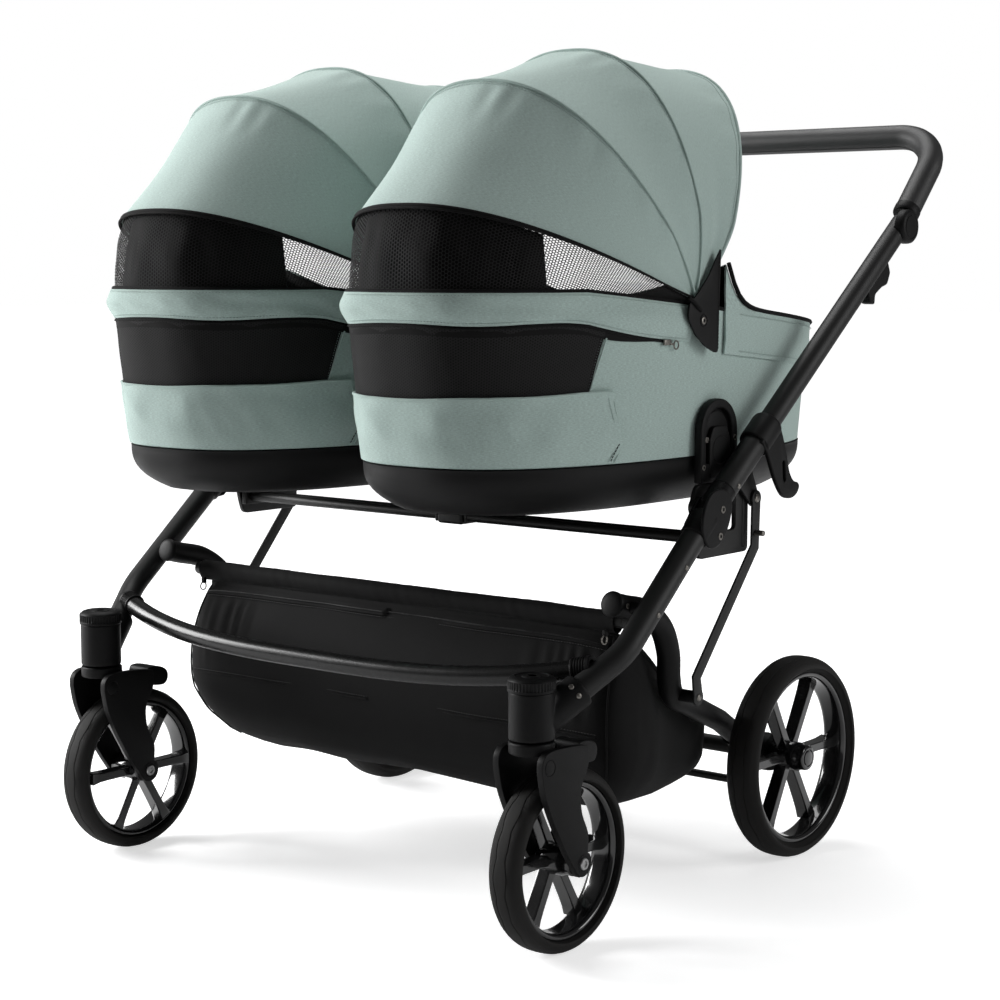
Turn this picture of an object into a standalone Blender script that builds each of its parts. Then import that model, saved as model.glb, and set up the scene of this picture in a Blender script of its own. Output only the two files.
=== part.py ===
"""Twin pram: a folding chassis with two carrycots side by side.

Metres, +Z up. The front swivel wheels are toward -Y and the handle toward +Y.
Left and right are those of the person who pushes, so left is +X.
While the pieces are made, Y = 0 is at the front axles and Z = 0 on the floor.
At the end one empty moves them all, so that the middle of the pram is at the origin.
"""
import math

import bmesh
import bpy
from mathutils import Matrix, Vector

GAP = 0.0003                 # clearance between pieces that touch
SIDES = (("left", 1), ("right", -1))

# Wheels
FRONT_RADIUS = 0.111
FRONT_TRACK = 0.748
FRONT_TYRE_WIDTH = 0.0456
REAR_RADIUS = 0.1375
REAR_TRACK = 0.732
REAR_TYRE_WIDTH = 0.048
WHEELBASE = 0.5365
TREAD_WIDTH = 0.024          # flat band of the tyre that meets the floor
TYRE_SHOULDER = 0.010
RIM_SHARE = 0.85             # rim radius as a share of the wheel radius
RIM_DEPTH = 0.0085           # height of the rim section
RIM_WIDTH = 0.032
SPOKES = 6
SPOKE_WIDTH = 0.0115
SPOKE_DEPTH = 0.018
HUB_RADIUS = 0.0170
AXLE_RADIUS = 0.0056
WHEEL_SEGMENTS = 28

# Front swivel units
TRAIL = 0.0517               # swivel axis ahead of the wheel axle
HOUSING_RADIUS = 0.0270
CROWN_HEIGHT = 0.0412        # fork's crown above the tyre
HOUSING_HEIGHT = 0.0748
HOUSING_BOTTOM = 2 * FRONT_RADIUS + CROWN_HEIGHT
HOUSING_TOP = HOUSING_BOTTOM + HOUSING_HEIGHT
CAP_HEIGHT = 0.0200
CAP_STEP = 0.0015            # the ribbed cap stands out this far
STEM_RADIUS = 0.0088
STEM_LENGTH = 0.0590
FORK_GAP = 0.0533            # between the blades
BLADE_THICKNESS = 0.0100
BLADE_END_RADIUS = 0.0165
CROWN_REACH = 0.0060         # ahead of the housing
FORK_BACK = 0.0120           # back face of the fork, where the lock lever sits
FORK_SHOULDER = 0.0850        # above the axle, where the blades widen into the crown
BLADE_FRONT = (-0.0400, 0.0350)   # from the axle, where a blade's taper starts
BLADE_BACK = (0.0160, 0.0390)
LEVER_SEAT = 0.0130          # half height of the flat behind the lever
LEVER_Z = 2 * FRONT_RADIUS + 0.0170
AXLE_HEAD = 0.0030
AXLE_HEAD_RADIUS = 0.0088
CROWN_BOTTOM_CLEARANCE = 0.0050
LEVER_LENGTH = 0.0400
LEVER_WIDTH = 0.0220
LEVER_THICKNESS = 0.0120

# Side frames
SIDE_X = 0.427               # plane of the side tubes
SIDE_TUBE_RADIUS = 0.0155
SOCKET_RADIUS = 0.0210
SOCKET_LENGTH = 0.0560
SOCKET_RISE = 0.0338         # from the housing's bottom to where the socket's axis meets the swivel axis
SOCKET_HEIGHT = HOUSING_BOTTOM + SOCKET_RISE
BEND = (0.0714, 0.3675)      # Y, Z of the lower bend
FOLD_PIVOT = (0.2360, 0.5085)
LEG_PIVOT = (0.1080, 0.3987)
STRUT_TOP = (0.3600, 0.5100)
STRUT_FOOT = (0.2320, 0.2720)
HANDLE_PIVOT = (0.6950, 0.8570)
TUBE_END_GAP = 0.0320        # lower tube stops this far from the fold pivot
SHELL_RADIUS = 0.0190
SHELL_SLEEVE = 0.0300
SHELL_OVERLAP = 0.0120       # sleeve beyond the tube's end
SHELL_PLATE = 0.0052
SHELL_EYE = 0.0200
SHELL_TAIL = 0.0100
HINGE_HALF_WIDTH = 0.0122    # of the eye between the cheeks
PIVOT_PIN_RADIUS = 0.0050

# Upper tubes
UPPER_RADIUS = 0.0165
UPPER_THICK_LENGTH = 0.1900
THIN_RADIUS = 0.0145
COLLAR_PLACE = 0.1520        # from the fold pivot to the collar's middle
COLLAR_LENGTH = 0.0340
COLLAR_RADIUS = 0.0205
LUG_X = 0.4060               # inner face
LUG_THICKNESS = 0.0050
LUG_PLACE = 0.0995
LUG_HALF_WIDTH = 0.0250
LUG_EYE = 0.0110
HOOK_PLACE = 0.4780
JOINT_DISC_RADIUS = 0.0210
JOINT_DISC_WIDTH = 0.0155

# Handle bar
HANDLE_Y = 0.8200
HANDLE_Z = 0.9860
GRIP_RADIUS = 0.0175
HANDLE_BEND = 0.0700

# Struts
STRUT_X = LUG_X + LUG_THICKNESS + GAP    # inner face
STRUT_THICKNESS = 0.0034
STRUT_HALF_WIDTH = 0.0090
STRUT_EYE = 0.0105

# Rear frame
LEG_X = 0.3880
LEG_RADIUS = 0.0150
DRUM_RADIUS = 0.0260
DRUM_INNER_X = 0.2860
DRUM_OUTER_X = 0.3347
AXLE_TUBE_RADIUS = 0.0110
SOCKET_X = 0.3020            # where the leg's line meets the axle
LEG_SOCKET_RADIUS = 0.0185
LEG_SOCKET_LENGTH = 0.0620
LEG_END_GAP = 0.0520         # leg stops this far from the axle
LEG_KNEE = (0.3220, 0.4200, 0.2000)      # the straight end of the leg starts here
STRUT_BOSS_RADIUS = 0.0080
BRAKE_EAR_THICKNESS = 0.0070
BRAKE_AXIS = (0.5070, 0.0980)
BRAKE_BAR_RADIUS = 0.0055
PEDAL_HALF_WIDTH = 0.0450
PEDAL_LENGTH = 0.0900

# Front crossbar
CROSSBAR_RADIUS = 0.0125
CROSSBAR_Y = 0.0234
CROSSBAR_BELOW = 0.0019       # its axis below the side tube's
CROSSBAR_INSIDE = 0.0013      # its ends inside the side tubes' axes
CROSSBAR_BOW = 0.0496        # forward
CROSSBAR_DROP = 0.0287       # downward

# Carrier under the carrycots
BAR_RADIUS = 0.0065
BAR_Y = 0.2630
BAR_Z = 0.4670
BAR_SPACING = 0.0200
BRACKET_X = 0.3972           # inner face
BRACKET_THICKNESS = 0.0070
BRACKET_TOP = 0.5355
BRACKET_BOTTOM = 0.4360
BRACKET_CORNER = 0.0120      # cut off the two lower corners
BRACKET_NOSE = 0.4880        # height of the bracket's front edge
BRACKET_FRONT = 0.1850
BRACKET_BACK = 0.3720
BRACKET_WINDOW = 0.0580      # length of the opening in the bracket
BRACKET_FRAME = 0.0210
BRACKET_BOSS_RADIUS = 0.0100

# Basket
BASKET_RAIL = (0.1330, 0.3760)
BASKET_RAIL_RADIUS = 0.0095
BASKET_RAIL_HALF = 0.3749    # its ends stop just short of the legs
BASKET_FLOOR = 0.1080
BASKET_FLOOR_FRONT = 0.1350
BASKET_BACK = 0.4650
BASKET_FRONT = 0.1280
BASKET_BACK_TOP = 0.2050
BASKET_HALVES = ((0.1280, 0.3800), (0.1700, 0.3800), (0.1950, 0.3640), (0.2450, 0.3490),
                 (0.3050, 0.3270), (0.4200, 0.2960), (0.4650, 0.2840))    # Y, half width
BASKET_CORNER = 7.0          # squareness in plan
BASKET_WALL = 0.0030

# Carrycots
COT_X = 0.2100
COT_Y = 0.2855
COT_POWER = 2.635            # squareness of the plan oval
TUB_BOTTOM = 0.5110
TUB_TOP = 0.5700
TUB_WALL = 0.0040
COT_HALF_WIDTH = 0.1800      # at the tub's top
COT_HALF_LENGTH = 0.3637
RIM_HEAD = 0.7770            # height of the rim over the head half
RIM_FOOT = 0.7180            # and at the foot end
RIM_SLOPE_START = 0.0500     # the rim starts to fall here
RIM_HALF_WIDTH = 0.1850
RIM_HALF_LENGTH = 0.3925
WALL_THICKNESS = 0.0080
MATTRESS_TOP = 0.5620
ADAPTER_THICKNESS = 0.0115
ADAPTER_FRONT = 0.2480
ADAPTER_BACK = 0.3300
ADAPTER_TOP = 0.6400

# Hoods
HOOD_PIVOT = (0.2626, 0.7497)
HOOD_POWER = 2.36            # squareness of the arches
HOOD_HALF_WIDTH = 0.1964     # outside of the cloth at the pivot
TRIM_ARCH = (0.3750, 70.5)   # height, lean toward the head end in degrees
LOW_ARCH = (0.3490, 37.7)
MID_ARCH = (0.3266, 5.7)
OPEN_ARCH = (0.3600, -29.6)
CLOTH = 0.0030
BOW_RADIUS = 0.0030
BOW_CLEARANCE = 0.0012       # between a bow and the cloth over it
BOW_LAYER = 0.0015
LAYER_STEP = 0.0018
BOW_DISC_RADIUS = 0.0180
HOOD_PIN_RADIUS = 0.0040
BOW_ARM = 0.0480             # flat arm from the pivot to the bow's tube
BOW_ARM_END = 0.0045
BOW_ARM_CLEARANCE = 0.0017   # outside the rim
CANOPY_START = 0.0620        # cloth starts this far from the pivot
ARCH_STEPS = 12
CANOPY_INSET = 0.3           # degrees between a panel's edge and its arch

# Apron over the foot end
VENT_CLEARANCE = 0.0010
APRON_SKIRT = 0.0580         # depth below the rim
APRON_CROWN = 0.0120         # height above the rim
APRON_OFFSET = 0.0015
APRON_FRONT = 0.0400         # front edge behind the hood's pivot
APRON_LIFT = 0.0720          # the side flaps rise this far at the front edge
APRON_FLAP_DEPTH = 0.0400

COLOURS = {
    "sage_fabric": ((0.36, 0.46, 0.42), 0.95, 0.0),
    "frame_black": ((0.018, 0.018, 0.019), 0.45, 0.3),
    "black_plastic": ((0.014, 0.014, 0.015), 0.55, 0.0),
    "gloss_black": ((0.008, 0.008, 0.009), 0.12, 0.0),
    "tyre_rubber": ((0.016, 0.016, 0.016), 0.75, 0.0),
    "black_fabric": ((0.012, 0.012, 0.013), 0.95, 0.0),
    "black_mesh": ((0.020, 0.020, 0.021), 0.90, 0.0),
    "steel": ((0.45, 0.45, 0.46), 0.30, 1.0),
    "liner_fabric": ((0.72, 0.71, 0.68), 0.95, 0.0),
}


def start_scene():
    """Empty the scene and make the two collections."""
    for item in list(bpy.data.objects):
        bpy.data.objects.remove(item, do_unlink=True)
    groups = []
    for name in ("pram", "cutters"):
        group = bpy.data.collections.get(name) or bpy.data.collections.new(name)
        if group.name not in bpy.context.scene.collection.children:
            bpy.context.scene.collection.children.link(group)
        groups.append(group)
    return groups


PRAM, CUTTERS = start_scene()


def finish(name):
    """The material of one finish, made once."""
    material = bpy.data.materials.get(name)
    if material is None:
        colour, roughness, metallic = COLOURS[name]
        material = bpy.data.materials.new(name)
        material.use_nodes = True
        shader = material.node_tree.nodes["Principled BSDF"]
        shader.inputs["Base Color"].default_value = (*colour, 1.0)
        shader.inputs["Roughness"].default_value = roughness
        shader.inputs["Metallic"].default_value = metallic
    return material


def solid(name, mesh_or_bm):
    """Link a mesh as an object of the pram."""
    if isinstance(mesh_or_bm, bmesh.types.BMesh):
        bmesh.ops.recalc_face_normals(mesh_or_bm, faces=mesh_or_bm.faces)
        mesh = bpy.data.meshes.new(name)
        mesh_or_bm.to_mesh(mesh)
        mesh_or_bm.free()
    else:
        mesh = mesh_or_bm
    item = bpy.data.objects.new(name, mesh)
    PRAM.objects.link(item)
    return item


def cylinder(name, start, end, radius, segments=16, end_radius=None, turn=0.0):
    """A cylinder or cone between two points, turned about its own axis."""
    start, end = Vector(start), Vector(end)
    bm = bmesh.new()
    bmesh.ops.create_cone(
        bm, cap_ends=True, segments=segments, radius1=radius,
        radius2=radius if end_radius is None else end_radius, depth=(end - start).length)
    aim = (end - start).to_track_quat("Z", "Y").to_matrix().to_4x4()
    place = Matrix.Translation((start + end) / 2) @ aim @ Matrix.Rotation(turn, 4, "Z")
    bmesh.ops.transform(bm, matrix=place, verts=bm.verts)
    return solid(name, bm)


def box(name, low, high):
    """A box between two corners."""
    low, high = Vector(low), Vector(high)
    bm = bmesh.new()
    bmesh.ops.create_cube(bm, size=1.0)
    size = high - low
    scale = Matrix.Diagonal((abs(size.x), abs(size.y), abs(size.z), 1.0))
    bmesh.ops.transform(bm, matrix=Matrix.Translation((low + high) / 2) @ scale, verts=bm.verts)
    return solid(name, bm)


def mesh_of(curve_object, place=None):
    """Turn a curve object into a mesh object with welded caps."""
    bpy.context.view_layer.update()
    graph = bpy.context.evaluated_depsgraph_get()
    mesh = bpy.data.meshes.new_from_object(curve_object.evaluated_get(graph))
    name = curve_object.name
    bpy.data.objects.remove(curve_object, do_unlink=True)
    bm = bmesh.new()
    bm.from_mesh(mesh)
    bmesh.ops.remove_doubles(bm, verts=bm.verts, dist=1e-5)
    if place is not None:
        bmesh.ops.transform(bm, matrix=place, verts=bm.verts)
    bpy.data.meshes.remove(mesh)
    return solid(name, bm)


def tube(name, points, radius, resolution=3):
    """A round tube along a list of points, with filled ends."""
    curve = bpy.data.curves.new(name + "_line", "CURVE")
    curve.dimensions = "3D"
    curve.bevel_depth = radius
    curve.bevel_resolution = resolution
    curve.use_fill_caps = True
    spline = curve.splines.new("POLY")
    spline.points.add(len(points) - 1)
    for place, point in zip(spline.points, points):
        place.co = (*point, 1.0)
    item = bpy.data.objects.new(name, curve)
    PRAM.objects.link(item)
    return mesh_of(item)


def plate(name, outline, x_low, x_high):
    """A flat outline in the Y-Z plane, made thick along X."""
    curve = bpy.data.curves.new(name + "_line", "CURVE")
    curve.dimensions = "2D"
    curve.fill_mode = "BOTH"
    curve.extrude = abs(x_high - x_low) / 2
    spline = curve.splines.new("POLY")
    spline.points.add(len(outline) - 1)
    for place, point in zip(spline.points, outline):
        place.co = (point[0], point[1], 0.0, 1.0)
    spline.use_cyclic_u = True
    item = bpy.data.objects.new(name, curve)
    PRAM.objects.link(item)
    turn = Matrix(((0, 0, 1, (x_low + x_high) / 2), (1, 0, 0, 0), (0, 1, 0, 0), (0, 0, 0, 1)))
    return mesh_of(item, turn)


def turned_x(name, profile, centre, segments, turn=0.0):
    """A ring turned about an X axis; the profile is a closed loop of (radius, x)."""
    bm = bmesh.new()
    corners = [bm.verts.new((radius, 0.0, x)) for radius, x in profile]
    for first, second in zip(corners, corners[1:] + corners[:1]):
        bm.edges.new((first, second))
    mesh = bpy.data.meshes.new(name)
    bm.to_mesh(mesh)
    bm.free()
    item = bpy.data.objects.new(name, mesh)
    PRAM.objects.link(item)
    screw = item.modifiers.new("turn", "SCREW")
    screw.axis = "Z"
    screw.steps = segments
    screw.render_steps = segments
    screw.use_merge_vertices = True
    screw.merge_threshold = 0.00005
    axis = Matrix(((0, 0, 1, 0), (1, 0, 0, 0), (0, 1, 0, 0), (0, 0, 0, 1)))
    place = Matrix.Translation(centre) @ axis @ Matrix.Rotation(turn, 4, "Z")
    return mesh_of(item, place)


def loft(name, rings, closed=False):
    """Skin rings of equal count; closed joins the last ring to the first."""
    bm = bmesh.new()
    rows = [[bm.verts.new(point) for point in ring] for ring in rings]
    count = len(rows[0])
    pairs = list(zip(rows, rows[1:] + rows[:1])) if closed else list(zip(rows, rows[1:]))
    for row, after in pairs:
        for i in range(count):
            j = (i + 1) % count
            bm.faces.new((row[i], row[j], after[j], after[i]))
    if not closed:
        bm.faces.new(rows[0])
        bm.faces.new(list(reversed(rows[-1])))
    return solid(name, bm)


def sheet(name, rows, thickness):
    """An open surface through rows of points, thickened both ways."""
    bm = bmesh.new()
    grid = [[bm.verts.new(point) for point in row] for row in rows]
    for row, after in zip(grid, grid[1:]):
        for i in range(len(row) - 1):
            bm.faces.new((row[i], row[i + 1], after[i + 1], after[i]))
    item = solid(name, bm)
    shell = item.modifiers.new("cloth", "SOLIDIFY")
    shell.thickness = thickness
    shell.offset = 0.0
    shell.use_even_offset = True
    return item


def combine(target, other, operation):
    """Boolean another solid into the target; the other stays as a hidden guide."""
    change = target.modifiers.new(operation.lower() + "_" + other.name, "BOOLEAN")
    change.operation = operation
    change.solver = "EXACT"
    change.object = other
    PRAM.objects.unlink(other)
    CUTTERS.objects.link(other)
    other.hide_render = True
    other.display_type = "WIRE"
    return target


def join(target, *others):
    for other in others:
        combine(target, other, "UNION")
    return target


def cut(target, *others):
    for other in others:
        combine(target, other, "DIFFERENCE")
    return target


def dress(item, name, material, origin=None):
    """Give a finished piece its node name, its material and its origin."""
    item.name = name
    item.data.name = name
    item.data.materials.clear()
    item.data.materials.append(finish(material))
    if origin is not None:
        place = Vector(origin)
        item.data.transform(Matrix.Translation(-place))
        item.location = place
    item.data.shade_smooth()
    item.data.set_sharp_from_angle(angle=math.radians(35))
    return item


def arc(centre, radius, start, end, count):
    """Points on an arc, with angles in degrees."""
    points = []
    for i in range(count):
        angle = math.radians(start + (end - start) * i / (count - 1))
        points.append((centre[0] + radius * math.cos(angle), centre[1] + radius * math.sin(angle)))
    return points


def heading(start, end):
    """Angle in degrees from one Y-Z point to another."""
    return math.degrees(math.atan2(end[1] - start[1], end[0] - start[0]))


def capsule(start, end, start_radius, end_radius, count=6):
    """Outline of a link with a round end at each pivot."""
    angle = heading(start, end)
    return (arc(start, start_radius, angle + 90, angle + 270, count)
            + arc(end, end_radius, angle - 90, angle + 90, count))


def strap(points, half_width, eye):
    """Outline of a flat bar along points, with round ends."""
    first, last = heading(points[0], points[1]), heading(points[-2], points[-1])
    outline = arc(points[0], eye, first + 60, first + 300, 7)
    turns = []
    for before, here, after in zip(points, points[1:], points[2:]):
        middle = (heading(before, here) + heading(here, after)) / 2
        reach = half_width / math.cos(math.radians((heading(here, after) - heading(before, here)) / 2))
        turns.append((here, middle, reach))
    for here, middle, reach in turns:
        outline += arc(here, reach, middle - 90, middle - 90, 2)[:1]
    outline += arc(points[-1], eye, last - 120, last + 120, 7)
    for here, middle, reach in reversed(turns):
        outline += arc(here, reach, middle + 90, middle + 90, 2)[:1]
    return outline


def on_line(start, end, distance):
    """The point at a distance from start toward end."""
    start, end = Vector(start), Vector(end)
    return start + (end - start).normalized() * distance


def bent(corners, radius, steps=6):
    """A polyline whose inner corners are rounded, as a bent tube is."""
    corners = [Vector(corner) for corner in corners]
    path = [corners[0]]
    for before, here, after in zip(corners, corners[1:], corners[2:]):
        back, ahead = (before - here).normalized(), (after - here).normalized()
        half = back.angle(ahead) / 2
        reach = radius / math.tan(half)
        centre = here + (back + ahead).normalized() * radius / math.sin(half)
        start = (here + back * reach - centre).normalized()
        end = (here + ahead * reach - centre).normalized()
        for i in range(steps + 1):
            path.append(centre + start.slerp(end, i / steps) * radius)
    path.append(corners[-1])
    return path


def smooth(points, steps=3):
    """A smooth curve through the points."""
    points = [Vector(point) for point in points]
    ends = [2 * points[0] - points[1]] + points + [2 * points[-1] - points[-2]]
    path = []
    for a, b, c, d in zip(ends, ends[1:], ends[2:], ends[3:]):
        for i in range(steps):
            t = i / steps
            path.append(0.5 * (2 * b + (c - a) * t + (2 * a - 5 * b + 4 * c - d) * t * t
                               + (3 * b - a - 3 * c + d) * t ** 3))
    path.append(points[-1])
    return path


def signed_power(value, power):
    return math.copysign(abs(value) ** power, value)


def oval(centre, half_x, half_y, z, count=28, power=COT_POWER):
    """A rounded rectangle in plan."""
    ring = []
    for i in range(count):
        angle = 2 * math.pi * (i + 0.5) / count
        ring.append((centre[0] + half_x * signed_power(math.cos(angle), 2 / power),
                     centre[1] + half_y * signed_power(math.sin(angle), 2 / power), z))
    return ring


def yz(x, point):
    return (x, point[0], point[1])


# Directions of the side frame
LOWER_DIRECTION = (Vector(FOLD_PIVOT) - Vector(BEND)).normalized()
UPPER_DIRECTION = (Vector(HANDLE_PIVOT) - Vector(FOLD_PIVOT)).normalized()


def upper_point(along, above=0.0):
    """Y, Z of a point beside the upper tube's axis."""
    normal = Vector((-UPPER_DIRECTION.y, UPPER_DIRECTION.x))
    return tuple(Vector(FOLD_PIVOT) + UPPER_DIRECTION * along + normal * above)


def before_fold(distance):
    """Y, Z of a point on the lower tube's axis, a distance before the fold pivot."""
    return tuple(Vector(FOLD_PIVOT) - LOWER_DIRECTION * distance)


def tyre(name, side, track, y, radius, width):
    """A tyre with a flat tread; a facet lies on the floor."""
    inner = radius * RIM_SHARE + GAP
    half, tread = width / 2, TREAD_WIDTH / 2
    wall = radius - TYRE_SHOULDER
    bead = RIM_WIDTH / 2
    profile = [(radius, -tread), (wall, -half), (inner, -bead),
               (inner, bead), (wall, half), (radius, tread)]
    grow = 1 / math.cos(math.pi / WHEEL_SEGMENTS)
    profile = [(r * grow, x) for r, x in profile]
    centre = (side * track / 2, y, radius)
    item = turned_x(name, profile, centre, WHEEL_SEGMENTS, math.pi / WHEEL_SEGMENTS)
    return dress(item, name, "tyre_rubber", centre)


def rim(name, side, track, y, radius, hub_in, hub_out, bore_out):
    """A wheel rim with six spokes, its hub and the axle's bore."""
    outer = radius * RIM_SHARE
    inner, half = outer - RIM_DEPTH, RIM_WIDTH / 2
    grow = 1 / math.cos(math.pi / WHEEL_SEGMENTS)
    profile = [(outer * grow, -half), (inner, -half), (inner, half), (outer * grow, half)]
    centre = Vector((side * track / 2, y, radius))
    item = turned_x(name + "_ring", profile, centre, WHEEL_SEGMENTS, math.pi / WHEEL_SEGMENTS)
    join(item, cylinder(name + "_hub", centre + Vector((side * hub_in, 0, 0)),
                        centre + Vector((side * hub_out, 0, 0)), HUB_RADIUS, 18))
    for i in range(SPOKES):
        spoke = box(name + "_spoke_%d" % i, (-SPOKE_DEPTH / 2, -SPOKE_WIDTH / 2, HUB_RADIUS * 0.7),
                    (SPOKE_DEPTH / 2, SPOKE_WIDTH / 2, inner + 0.002))
        turn = Matrix.Rotation(2 * math.pi * (i + 0.5) / SPOKES, 4, "X")
        spoke.data.transform(Matrix.Translation(centre) @ turn)
        join(item, spoke)
    cut(item, cylinder(name + "_bore", centre + Vector((side * (hub_in - 0.01), 0, 0)),
                       centre + Vector((side * bore_out, 0, 0)), AXLE_RADIUS + 2 * GAP, 12))
    return dress(item, name, "gloss_black", centre)


def front_unit(label, side):
    """Fork, axle, lock lever, rim and tyre of one swivel wheel."""
    x = side * FRONT_TRACK / 2
    outer = FORK_GAP / 2 + BLADE_THICKNESS
    top = HOUSING_BOTTOM - GAP
    axle = (0.0, FRONT_RADIUS)
    lever_y = FORK_BACK
    crown_front = -TRAIL - HOUSING_RADIUS - CROWN_REACH
    shoulder = FRONT_RADIUS + FORK_SHOULDER
    outline = [(crown_front, top), (crown_front - 0.003, top - 0.03), (-0.074, shoulder),
               (BLADE_FRONT[0], FRONT_RADIUS + BLADE_FRONT[1])]
    outline += arc(axle, BLADE_END_RADIUS, 200, 360, 7)
    outline += [(BLADE_BACK[0], FRONT_RADIUS + BLADE_BACK[1]), (-0.004, shoulder),
                (lever_y, LEVER_Z - LEVER_SEAT), (lever_y, LEVER_Z + LEVER_SEAT), (-0.018, top)]
    fork = plate("fork_block", outline, x - outer, x + outer)
    arch = FRONT_RADIUS + CROWN_BOTTOM_CLEARANCE
    gap = FORK_GAP / 2
    cut(fork,
        cylinder("fork_arch_" + label, (x - gap, 0, FRONT_RADIUS), (x + gap, 0, FRONT_RADIUS), arch, 36),
        cylinder("fork_bore_" + label, (x - 0.05, 0, FRONT_RADIUS), (x + 0.05, 0, FRONT_RADIUS),
                 AXLE_RADIUS + GAP, 12))
    join(fork, cylinder("fork_stem_" + label, (x, -TRAIL, top - 0.012), (x, -TRAIL, top + STEM_LENGTH),
                        STEM_RADIUS, 14))
    dress(fork, "fork_" + label, "black_plastic", (x, -TRAIL, top))

    reach = outer + GAP + AXLE_HEAD / 2
    pin = cylinder("axle_pin", (x - reach, 0, FRONT_RADIUS), (x + reach, 0, FRONT_RADIUS),
                   AXLE_RADIUS, 12)
    for way in (-1, 1):
        join(pin, cylinder("axle_head_%s_%d" % (label, way), (x + way * (outer + GAP), 0, FRONT_RADIUS),
                           (x + way * (outer + GAP + AXLE_HEAD), 0, FRONT_RADIUS),
                           AXLE_HEAD_RADIUS, 12))
    dress(pin, "front_axle_" + label, "steel", (x, 0, FRONT_RADIUS))

    middle = (lever_y + GAP + LEVER_THICKNESS / 2, LEVER_Z)
    end = (middle[0] + LEVER_LENGTH, middle[1] + 0.003)
    lever = plate("lever", capsule(middle, end, LEVER_THICKNESS / 2, LEVER_THICKNESS / 2 - 0.001, 5),
                  x - LEVER_WIDTH / 2, x + LEVER_WIDTH / 2)
    dress(lever, "swivel_lock_" + label, "black_plastic", yz(x, middle))

    hub = FORK_GAP / 2 - GAP
    rim("front_rim_" + label, side, FRONT_TRACK, 0, FRONT_RADIUS, -hub, hub, hub + 0.01)
    tyre("front_tyre_" + label, side, FRONT_TRACK, 0, FRONT_RADIUS, FRONT_TYRE_WIDTH)


def side_path(side):
    """Start, bend and end of one lower side tube."""
    hub = Vector((side * FRONT_TRACK / 2, -TRAIL, SOCKET_HEIGHT))
    corner = Vector(yz(side * SIDE_X, BEND))
    return hub, corner, Vector(yz(side * SIDE_X, before_fold(TUBE_END_GAP)))


def chassis_side(label, side):
    """Swivel housing, lower side tube, hinge shell and carrier bracket of one side."""
    hub, corner, end = side_path(side)
    housing = cylinder("housing", (hub.x, hub.y, HOUSING_BOTTOM), (hub.x, hub.y, HOUSING_TOP),
                       HOUSING_RADIUS, 16)
    join(housing,
         cylinder("cap_" + label, (hub.x, hub.y, HOUSING_TOP - CAP_HEIGHT),
                  (hub.x, hub.y, HOUSING_TOP + GAP), HOUSING_RADIUS + CAP_STEP, 16),
         cylinder("socket_" + label, hub, on_line(hub, corner, SOCKET_LENGTH), SOCKET_RADIUS, 16))
    start = HOUSING_RADIUS + 0.0040
    cut(housing,
        cylinder("stem_bore_" + label, (hub.x, hub.y, HOUSING_BOTTOM - 0.01),
                 (hub.x, hub.y, HOUSING_BOTTOM + STEM_LENGTH + 2 * GAP), STEM_RADIUS + GAP, 14),
        cylinder("tube_bore_" + label, on_line(hub, corner, start), on_line(hub, corner, 0.08),
                 SIDE_TUBE_RADIUS + 2 * GAP, 16))
    dress(housing, "swivel_housing_" + label, "black_plastic")

    path = bent([on_line(hub, corner, start + GAP), corner, end], 0.09, 5)
    rail = tube("rail", path, SIDE_TUBE_RADIUS, 3)
    inner = side * (SIDE_X - SIDE_TUBE_RADIUS - 0.01)
    cut(rail, cylinder("leg_pin_bore_" + label, yz(inner, LEG_PIVOT), yz(side * (SIDE_X + 0.001), LEG_PIVOT),
                       PIVOT_PIN_RADIUS + GAP, 12))
    dress(rail, "side_tube_" + label, "frame_black")

    near = SIDE_X - HINGE_HALF_WIDTH - GAP
    far = SIDE_X + HINGE_HALF_WIDTH + GAP
    front = before_fold(TUBE_END_GAP - SHELL_OVERLAP)
    back = before_fold(TUBE_END_GAP - SHELL_OVERLAP + SHELL_SLEEVE)
    shell = cylinder("sleeve", yz(side * SIDE_X, back), yz(side * SIDE_X, front), SHELL_RADIUS, 16)
    bore_end = TUBE_END_GAP - GAP
    cut(shell, cylinder("sleeve_bore_" + label, yz(side * SIDE_X, before_fold(0.12)),
                        yz(side * SIDE_X, before_fold(bore_end)), SIDE_TUBE_RADIUS + 2 * GAP, 16))
    tail = before_fold(bore_end - SHELL_TAIL - GAP)
    outline = capsule(tail, FOLD_PIVOT, SHELL_TAIL, SHELL_EYE)
    join(shell,
         plate("inner_cheek_" + label, outline, side * (near - SHELL_PLATE), side * near),
         plate("outer_cheek_" + label, outline, side * far, side * (far + SHELL_PLATE)),
         cylinder("fold_pin_" + label, yz(side * (near - 0.002), FOLD_PIVOT),
                  yz(side * (far + 0.002), FOLD_PIVOT), PIVOT_PIN_RADIUS, 12))
    dress(shell, "hinge_shell_" + label, "black_plastic")

    low, high = BRACKET_BOTTOM, BRACKET_TOP
    outline = [(BRACKET_FRONT, low + BRACKET_CORNER), (BRACKET_FRONT + BRACKET_CORNER, low),
               (BRACKET_BACK - BRACKET_CORNER, low), (BRACKET_BACK, low + BRACKET_CORNER),
               (BRACKET_BACK, high), (ADAPTER_FRONT - 0.004, high), (BRACKET_FRONT, BRACKET_NOSE)]
    bracket = plate("bracket", outline, side * BRACKET_X, side * (BRACKET_X + BRACKET_THICKNESS))
    back = BRACKET_BACK - BRACKET_FRAME
    cut(bracket, box("window_" + label, (side * 0.38, back - BRACKET_WINDOW, low + BRACKET_FRAME),
                     (side * 0.42, back, high - BRACKET_FRAME)))
    join(bracket, cylinder("bracket_boss_" + label, yz(side * (BRACKET_X + 0.002), FOLD_PIVOT),
                           yz(side * (near - SHELL_PLATE - GAP), FOLD_PIVOT), BRACKET_BOSS_RADIUS, 12))
    dress(bracket, "carrier_bracket_" + label, "frame_black")


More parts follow.
